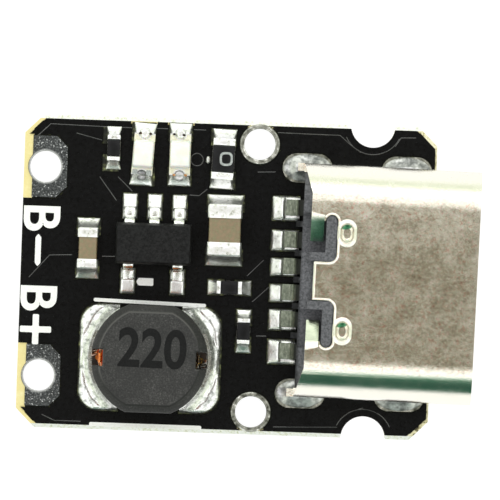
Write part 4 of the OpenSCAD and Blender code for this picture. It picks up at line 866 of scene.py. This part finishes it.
def makeHousing():
    # The moulded housing, with its ribs standing full height in the shell's slots
    s = housingRibs
    ribs = bmesh.new()
    (x, y), half, radius = s["at"], s["length"] / 2 - s["width"] / 2, s["width"] / 2
    outline = arc(half, 0, radius, radius, -90, 90, 8)
    outline += [(-px, -py) for px, py in outline]
    for side in (1, -1):
        turned = Matrix.Translation((x, side * y, s["low"])) @ Matrix.Rotation(math.pi / 2, 4, "Z")
        addPlate(ribs, shellPlace @ turned, outline, 0, s["top"] - s["low"])
    shape = carve(copyOf(nodes["usb_housing"].data), ribs, "UNION")
    roundEdges(shape, s["round"], 2, 50)
    finishPiece("usb_housing_soft", shape, finishes["housing_plastic"], 30,
                ("usb_housing",))


dimples = {"at": (1.75, 1.87), "hollow": (0.264, 0.364), "outer": (0.11, 0.18), "inner": 0.03, "lift": 0.055,
           "crest": 0.8, "depth": 0.09, "flat": 0.66, "curve": 1.2, "rimCells": (40, 10), "cells": (28, 28)}


def makeDimples():
    # The rims pressed up around the two dimples, and the hollows within them, flat in the middle
    s = dimples
    roof = shellForm["roof"]
    shape = bmesh.new()
    for side in (1, -1):
        made = addGrid(shape, s["rimCells"])
        for v in made:
            turn, across = math.pi * (v.co.x + 1), (v.co.y + 1) / 2
            reach = [s["hollow"][i] - s["inner"] * across + s["outer"][i] * (1 - across) for i in (0, 1)]
            x = reach[0] * math.cos(turn)
            y = reach[0] * math.sin(turn) + math.copysign(reach[1] - reach[0], math.sin(turn + 1e-4))
            z = s["lift"] * (min(across / s["crest"], 1.0) - smoothStep(s["crest"], 1.0, across)) - 0.003
            v.co = Vector((s["at"][0] + x, side * s["at"][1] + y, roof + z))
        bmesh.ops.transform(shape, matrix=shellPlace, verts=made)
    bmesh.ops.remove_doubles(shape, verts=shape.verts, dist=0.001 * mm)
    finishPiece("dimple_rims", shape, finishes["shell_steel"], 80)

    def hollow(u, v):
        px, py = onDisc(u, v)
        slope = max((math.hypot(px, py) - s["flat"]) / (1 - s["flat"]), 0.0) ** s["curve"]
        return px * (s["hollow"][0] - s["inner"]), py * (s["hollow"][1] - s["inner"]), s["depth"] * slope

    shape = bmesh.new()
    for side in (1, -1):
        at = Matrix.Translation((s["at"][0], side * s["at"][1], roof - s["depth"]))
        addMound(shape, shellPlace @ at, s["cells"], hollow)
    finishPiece("dimple_hollows", shape, finishes["shell_steel"], 80)


slotRims = {"rear": 0.56, "leg": 0.73, "corner": 0.3, "arm": (1.4, 2.295), "armRound": 0.245, "armTurn": 150,
            "width": 0.11, "inner": 0.015, "lift": 0.024, "crest": 0.85, "drop": 0.03, "cells": (66, 8)}


def makeSlotRims():
    # The burr rolled up along the edges of the shell's slots
    r = slotRims
    (x, y), bend, tip = r["arm"], r["corner"], r["armRound"]
    path = [(r["rear"], r["leg"])]
    path += arc(x - bend, r["leg"] + bend, bend, bend, -90, 0, 8)
    path += arc(x - tip, y, tip, tip, 0, r["armTurn"], 12)
    shape = bmesh.new()
    for side in (1, -1):
        made = addGrid(shape, r["cells"])
        for v in made:
            step, across = (v.co.x + 1) / 2 * (len(path) - 1.001), (v.co.y + 1) / 2
            start, end = Vector(path[int(step)]), Vector(path[int(step) + 1])
            out = Vector((end.y - start.y, start.x - end.x)).normalized()
            at = start.lerp(end, step - int(step)) + out * (r["width"] * (1 - across) - r["inner"])
            fall = (r["lift"] + r["drop"]) * smoothStep(r["crest"], 1.0, across)
            z = r["lift"] * min(across / r["crest"], 1.0) - fall - 0.002
            v.co = Vector((at.x, side * at.y, shellForm["roof"] + z))
        bmesh.ops.transform(shape, matrix=shellPlace, verts=made)
    finishPiece("slot_rims", shape, finishes["shell_steel"], 80)


makeShell()
makeHousing()
makeDimples()
makeSlotRims()
print("connector shaped")


# Printed legend and markings

def bar(length, width):
    a, b = length / 2, width / 2
    return [(-a, -b), (a, -b), (a, b), (-a, b)]


def addGlyph(shape, matrix, text, size, weight, thickness, width=1.0):
    # One line of plain figures or letters, centred, made a mesh before its place is applied
    data = bpy.data.curves.new("glyph", "FONT")
    data.body, data.size, data.align_x, data.align_y = text, size, "CENTER", "CENTER"
    data.offset, data.extrude, data.resolution_u = weight, thickness / 2, 6
    mesh = meshOf(data)
    low = [min(v.co[i] for v in mesh.vertices) for i in (0, 1)]
    high = [max(v.co[i] for v in mesh.vertices) for i in (0, 1)]
    centre = Matrix.Translation((-(low[0] + high[0]) / 2, -(low[1] + high[1]) / 2, thickness / 2))
    addMesh(shape, mesh, matrix @ Matrix.Diagonal((width, 1, 1, 1)) @ centre)


legend = {
    "thickness": 0.02, "letterSize": 1.95, "letterWidth": 0.98, "weight": 0.035,
    "letters": ((-7.15, 2.0), (-7.17, -1.06)),  # both read downwards
    "minus": (-7.26, 0.79, 1.25, 0.22), "tip": 0.6, "corner": 0.04, "plus": (-7.25, -2.25, 1.2, 1.16, 0.24),
    "inductorLines": ((-2.905, -1.08, 4.31, 0.14, -1.2), (-2.92, -5.81, 4.3, 0.16, 0.0)),
    "chipDash": (-3.13, -0.29, 0.66, 0.29, 0.09),
}


def makeLegend():
    s = legend
    t = s["thickness"]
    shape = bmesh.new()
    for x, y in s["letters"]:
        addGlyph(shape, onBoard(x, y, -90), "B", s["letterSize"], s["weight"], t, s["letterWidth"])
    x, y, length, width = s["minus"]
    a, b, w = length / 2, length / 2 - s["tip"] * width, width / 2
    pointed = [(-a, 0), (-b, -w), (b, -w), (a, 0), (b, w), (-b, w)]
    addPlate(shape, onBoard(x, y, 90), pointed, s["corner"], t)
    x, y, across, down, width = s["plus"]
    a, b, w = across / 2, down / 2, width / 2
    cross = [(-a, -w), (-w, -w), (-w, -b), (w, -b), (w, -w), (a, -w),
             (a, w), (w, w), (w, b), (-w, b), (-w, w), (-a, w)]
    addPlate(shape, onBoard(x, y), cross, 0.05, t)
    for x, y, length, width, turn in s["inductorLines"]:
        addPlate(shape, onBoard(x, y, turn), bar(length, width), 0.06, t)
    x, y, length, width, tip = s["chipDash"]
    a, b, w = length / 2, length / 2 - tip, width / 2
    addPlate(shape, onBoard(x, y), [(-a, 0), (-b, -w), (a, -w), (a, w), (-b, w)], s["corner"], t)
    return finishPiece("board_legend", shape, legendInk)


makeLegend()

markings = {
    "inductor": {"text": "220", "size": 2.05, "width": 0.86, "weight": 0.045, "at": (0.11, 0.41), "z": 3.2},
    "link": {"size": (0.5, 0.53), "stroke": 0.08, "squareness": 3.2, "at": (0.11, 0.0), "z": 0.45},
    "thickness": 0.012,
}


def makeMarkings():
    s = markings["inductor"]
    x0, y0, _ = parts["inductor"]
    shape = bmesh.new()
    addGlyph(shape, onBoard(x0 + s["at"][0], y0 + s["at"][1], -1, s["z"]), s["text"], s["size"], s["weight"],
             markings["thickness"], s["width"])
    finishPiece("inductor_figures", shape, darkMarking)
    s = markings["link"]
    x0, y0, _ = parts["link"]
    shape = bmesh.new()
    # a plain nought: a flat ring, squared off a little
    ring = bmesh.ops.create_circle(shape, segments=32, radius=1)["verts"]
    a, b, power = s["size"][0] / 2, s["size"][1] / 2, s["squareness"]
    for v in ring:
        angle = math.atan2(v.co.y, v.co.x)
        c, n = math.cos(angle), math.sin(angle)
        r = (abs(c) ** power + abs(n) ** power) ** (-1 / power)
        v.co = Vector((a * r * c, b * r * n, 0))
    inner = bmesh.ops.extrude_edge_only(shape, edges=shape.edges[:])["geom"]
    k = 1 - s["stroke"] / min(a, b)
    bmesh.ops.scale(shape, verts=vertsOf(inner), vec=(k, k, 1))
    raised = bmesh.ops.extrude_face_region(shape, geom=shape.faces[:])["geom"]
    bmesh.ops.translate(shape, verts=vertsOf(raised), vec=(0, 0, markings["thickness"]))
    bmesh.ops.transform(shape, matrix=onBoard(x0 + s["at"][0], y0 + s["at"][1], 0, s["z"]), verts=shape.verts)
    finishPiece("link_figure", shape, paleMarking)


makeMarkings()

smallThings = {
    "brownDots": ((-3.49, 5.4), (-3.09, 5.38), (-2.19, 5.4), (-1.82, 5.38)),
    "orangeDots": ((-2.15, 3.84), (-1.71, 3.84)), "dotSize": (0.06, 0.05), "dotLift": 0.38, "thickness": 0.01,
    "notchAt": 0.8, "notchRound": 0.24, "notchUpper": 0.36, "notchLower": 0.24,  # the LEDs' half-round ends
    "ledges": ((-0.7, -0.27), (-0.7, 0.27)), "ledgeSize": 0.2, "ledgeLift": 0.3,
    "via": (-0.86, 4.47, 0.16, 0.25, 0.05),
}


def makeSmallThings():
    s = smallThings
    dot = arc(0, 0, *s["dotSize"], 0, 360, 8)[:-1]
    for name, dots, material in (("led_flux_spots", s["brownDots"], fluxAndPaintedShade),
                                 ("led_burn_marks", s["orangeDots"], finishes["led_chip"])):
        shape = bmesh.new()
        for x, y in dots:
            addPlate(shape, onBoard(x, y, 0, s["dotLift"]), dot, 0, s["thickness"])
        finishPiece(name, shape, material)
    for name, end, height, material in (("led_notch_solder_upper", 0, s["notchUpper"], finishes["end_tin"]),
                                        ("led_notch_solder_lower", 180, s["notchLower"], dullSolder)):
        def plug(u, v):
            r = s["notchRound"]
            return s["notchAt"] + r * u, r * v, height * dome(min(math.hypot(u, v), 1.0), 6)

        shape = bmesh.new()
        for led in ("leftLed", "rightLed"):
            x, y, turn = parts[led]
            addMound(shape, onBoard(x, y, turn + end), (12, 12), plug)
        finishPiece(name, shape, material)
    shape = bmesh.new()
    for x, y in s["ledges"]:
        place = onBoard(*parts["leftLed"], s["ledgeLift"]) @ Matrix.Translation((x, y, 0))
        addPlate(shape, place, bar(s["ledgeSize"], s["ledgeSize"]), 0.03, s["thickness"])
    finishPiece("led_terminal_ledges", shape, paleMarking)
    x, y, length, width, height = s["via"]
    shape = bmesh.new()

    def point(u, v):
        return u * length / 2, v * width / 2, height * dome(math.hypot(u, v), 2)

    addMound(shape, onBoard(x, y), (10, 10), point)
    finishPiece("via_solder", shape, finishes["solder"])


makeSmallThings()

coilEnds = {  # from the inductor's middle
    "wire": 0.1, "thin": 0.6,
    "paths": (((1.84, -0.24, 1.75), (1.87, -0.1, 2.1), (1.87, 0.14, 2.1), (1.84, 0.27, 1.8)),  # last turn
              ((1.92, -0.2, 1.6), (2.1, -0.16, 1.3), (2.14, -0.1, 0.8))),  # and its tail
    # the dark pool in each notch: brown flux in part, painted shade in part
    "notchPoolAt": 1.98, "notchPoolSize": (0.42, 0.62), "notchPoolTop": 0.86, "notchPoolDepth": 0.03,
}


def makeCoilEnds():
    # The coil's last turn and its tails, seen in the flange's notches, over a dark pool that is partly brown
    # flux and partly painted shade
    s = coilEnds
    x0, y0, _ = parts["inductor"]
    data = bpy.data.curves.new("coilEnds", "CURVE")
    data.dimensions, data.bevel_depth, data.bevel_resolution, data.use_fill_caps = "3D", s["wire"], 4, True
    for side in (0, 180):
        turn = Matrix.Rotation(math.radians(side), 3, "Z")
        for points in s["paths"]:
            path = data.splines.new("POLY")
            path.points.add(len(points) - 1)
            for p, at in zip(path.points, points):
                p.radius = 1.0 if side else s["thin"]
                x, y, z = turn @ Vector(at)
                p.co = (x0 + x, y0 + y, top + z, 1)
    shape = bmesh.new()
    addMesh(shape, meshOf(data), Matrix.Scale(mm, 4))
    finishPiece("coil_wire_ends", shape, finishes["copper_wire"])
    # painted shade in part: a dark pool in each notch, with brown flux in it
    shape = bmesh.new()
    for side in (0, 180):
        place = onBoard(x0, y0, side, s["notchPoolTop"] - s["notchPoolDepth"]) @ Matrix.Translation((s["notchPoolAt"], 0, 0))
        addPlate(shape, place, bar(*s["notchPoolSize"]), 0.06, s["notchPoolDepth"])
    finishPiece("notch_flux_and_shade", shape, fluxAndPaintedShade)


makeCoilEnds()
print("legend and markings printed")


# Edges of the copper under the mask, which catch the light

pourLines = {
    "width": 0.03, "sink": 0.007,
    "paths": (
        ((-7.48, 5.11), (-6.93, 5.64), (-5.06, 5.6), (-3.82, 5.59)), ((-2.86, 5.6), (-2.44, 5.6)),
        ((-1.44, 5.6), (-0.98, 5.6)), ((1.78, 5.6), (4.16, 5.58), (4.57, 5.23), (4.98, 4.95)),
        ((6.28, 5.22), (6.5, 5.56), (7.07, 5.58)), ((4.54, -5.29), (4.87, -5.01), (5.4, -4.82)),
        ((1.98, -5.68), (4.43, -5.6)), ((-7.57, -0.26), (-6.81, 0.61), (-5.96, 0.65)),
        ((-4.79, 0.63), (-4.3, 0.64)), ((-4.99, 3.68), (-4.32, 2.79)), ((-4.29, 3.7), (-3.73, 3.17)),
        ((-5.94, 5.32), (-4.95, 5.08)), ((-1.52, 3.09), (-1.16, 3.08), (-0.86, 3.34)),
        ((1.05, 4.06), (1.74, 4.09)), ((0.78, 0.07), (1.4, 0.7)), ((1.01, -0.92), (1.63, -0.33)),
        ((1.21, -2.22), (1.59, -2.21)), ((-6.9, -5.5), (-6.4, -5.72), (-5.4, -5.72)),
    ),
    "notches": ((5.42, 6.0, 1.12), (5.42, -6.0, 1.12)), "notchArc": (25, 155),
    "vias": ((-1.29, 4.46),), "viaRing": 0.24,
}


def makePourLines():
    s = pourLines
    data = bpy.data.curves.new("pourEdges", "CURVE")
    data.dimensions, data.bevel_depth, data.bevel_resolution = "3D", s["width"], 2

    def addPath(points, closed=False):
        path = data.splines.new("POLY")
        path.points.add(len(points) - 1)
        for p, (x, y) in zip(path.points, points):
            p.co = (x, y, top - s["width"] + s["sink"], 1)
        path.use_cyclic_u = closed

    for points in s["paths"]:
        addPath(points)
    for x, y, radius in s["notches"]:
        addPath(arc(x, y, radius, -math.copysign(radius, y), *s["notchArc"], 16))
    for x, y in s["vias"]:
        addPath(arc(x, y, s["viaRing"], s["viaRing"], 0, 360, 20)[:-1], True)
    shape = bmesh.new()
    addMesh(shape, meshOf(data), Matrix.Scale(mm, 4))
    return finishPiece("copper_edges_under_mask", shape, pourEdge, sharpAngle=80)


makePourLines()
print("copper edges drawn")


# Floor, world, lights and camera

stage = {"half": 0.6, "drop": 0.00002, "boxAt": (-0.03, 0.15, 0.11), "boxSize": (0.09, 0.05),  # in metres
         "paper": 0.8, "shade": 0.16, "glow": 0.96, "boxPower": 0.035}


def makeFloor():
    shape = bmesh.new()
    bmesh.ops.create_grid(shape, x_segments=1, y_segments=1, size=stage["half"])
    floor = addObject("floor", meshFrom(shape, "floor"))
    floor.location.z = -stage["drop"]
    material = bpy.data.materials.new("paleFloor")
    material.use_nodes = True
    tree = material.node_tree
    tree.nodes.clear()
    rays = addNode(tree, "LightPath").outputs
    seen = rays["Is Camera Ray"]
    for other in ("Is Glossy Ray", "Is Transmission Ray"):
        seen = addNode(tree, "Math", {0: seen, 1: rays[other]}, operation="MAXIMUM").outputs[0]
    paper, shade = [addNode(tree, "BsdfDiffuse", {"Color": (grey, grey, grey, 1)}).outputs[0]
                    for grey in (stage["paper"], stage["shade"])]
    glow = addNode(tree, "Emission", {"Color": (1, 1, 1, 1), "Strength": stage["glow"]}).outputs[0]
    bright = addNode(tree, "AddShader", {0: shade, 1: glow}).outputs[0]
    mixed = addNode(tree, "MixShader", {0: seen, 1: paper, 2: bright}).outputs[0]
    addNode(tree, "OutputMaterial", {"Surface": mixed})
    floor.data.materials.append(material)


studio = {  # light by angle from straight up, in degrees, on the +Y and on the -Y side
    "upper": ((0, "#706d61"), (12, "#757266"), (17, "#ececec"), (43, "#ececec"), (48, "#b3baa8"),
              (84, "#b3baa8"), (92, "#ffffff")),
    "lower": ((0, "#706d61"), (16, "#757266"), (21, "#ececec"), (38, "#ececec"), (43, "#6f9a7e"),
              (48, "#2f5243"), (70, "#203a30"), (89, "#2f5243"), (94, "#6f9a7e"), (100, "#ffffff")),
    "strength": 1.8, "turn": (-0.98, -0.85),  # how far towards -Y the lower side's light begins and is full
}


def makeWorld():
    world = bpy.data.worlds.new("studio")
    bpy.context.scene.world = world
    world.use_nodes = True
    tree = world.node_tree
    tree.nodes.clear()
    direction = addNode(tree, "TexCoord").outputs["Generated"]
    axes = addNode(tree, "SeparateXYZ", {"Vector": direction}).outputs
    angle = addNode(tree, "Math", {0: axes["Z"]}, operation="ARCCOSINE").outputs[0]
    share = addNode(tree, "Math", {0: angle, 1: math.pi}, operation="DIVIDE").outputs[0]
    upper, lower = [addNode(tree, "ValToRGB", {"Fac": share},
                            [(degrees / 180, hexCode) for degrees, hexCode in studio[side]]).outputs["Color"]
                    for side in ("upper", "lower")]
    flat = addNode(tree, "VectorMath", {0: direction, 1: (1, 1, 0)}, operation="MULTIPLY").outputs[0]
    length = addNode(tree, "VectorMath", {0: flat}, operation="LENGTH").outputs["Value"]
    northing = addNode(tree, "Math", {0: axes["Y"], 1: length}, operation="DIVIDE").outputs[0]
    turn = addNode(tree, "MapRange", {"Value": northing, "From Min": studio["turn"][0],
                                      "From Max": studio["turn"][1]},
                   interpolation_type="SMOOTHSTEP").outputs[0]
    light = addNode(tree, "Mix", {0: turn, 6: lower, 7: upper}, data_type="RGBA").outputs[2]
    around = addNode(tree, "Background", {"Color": light, "Strength": studio["strength"]}).outputs[0]
    plain = addNode(tree, "Background", {"Color": (1, 1, 1, 1), "Strength": 1.0}).outputs[0]
    seen = addNode(tree, "LightPath").outputs["Is Camera Ray"]
    mixed = addNode(tree, "MixShader", {0: seen, 1: around, 2: plain}).outputs[0]
    addNode(tree, "OutputWorld", {"Surface": mixed})


camera = {"aim": (0.86, 1.07, 1.2), "height": 600.0, "turn": 2.0, "view": 19.16, "sensor": 36.0}


def makeCamera():
    data = bpy.data.cameras.new("camera")
    data.sensor_width = camera["sensor"]
    data.lens = camera["sensor"] * camera["height"] / camera["view"]
    data.clip_start, data.clip_end = 0.001, 10
    holder = addObject("camera", data)
    x, y, z = camera["aim"]
    holder.location = (x * mm, y * mm, (z + camera["height"]) * mm)
    holder.rotation_euler = (0, 0, math.radians(camera["turn"]))
    bpy.context.scene.camera = holder


def makeKeyLight():
    data = bpy.data.lights.new("softbox", "AREA")
    data.shape, (data.size, data.size_y) = "RECTANGLE", stage["boxSize"]
    data.energy = stage["boxPower"]
    holder = addObject("softbox", data)
    holder.location = stage["boxAt"]
    holder.rotation_euler = (-holder.location).to_track_quat("-Z", "Y").to_euler()


makeFloor()
makeWorld()
makeKeyLight()
makeCamera()
bpy.context.scene.view_settings.view_transform = "Standard"
print("stage set")
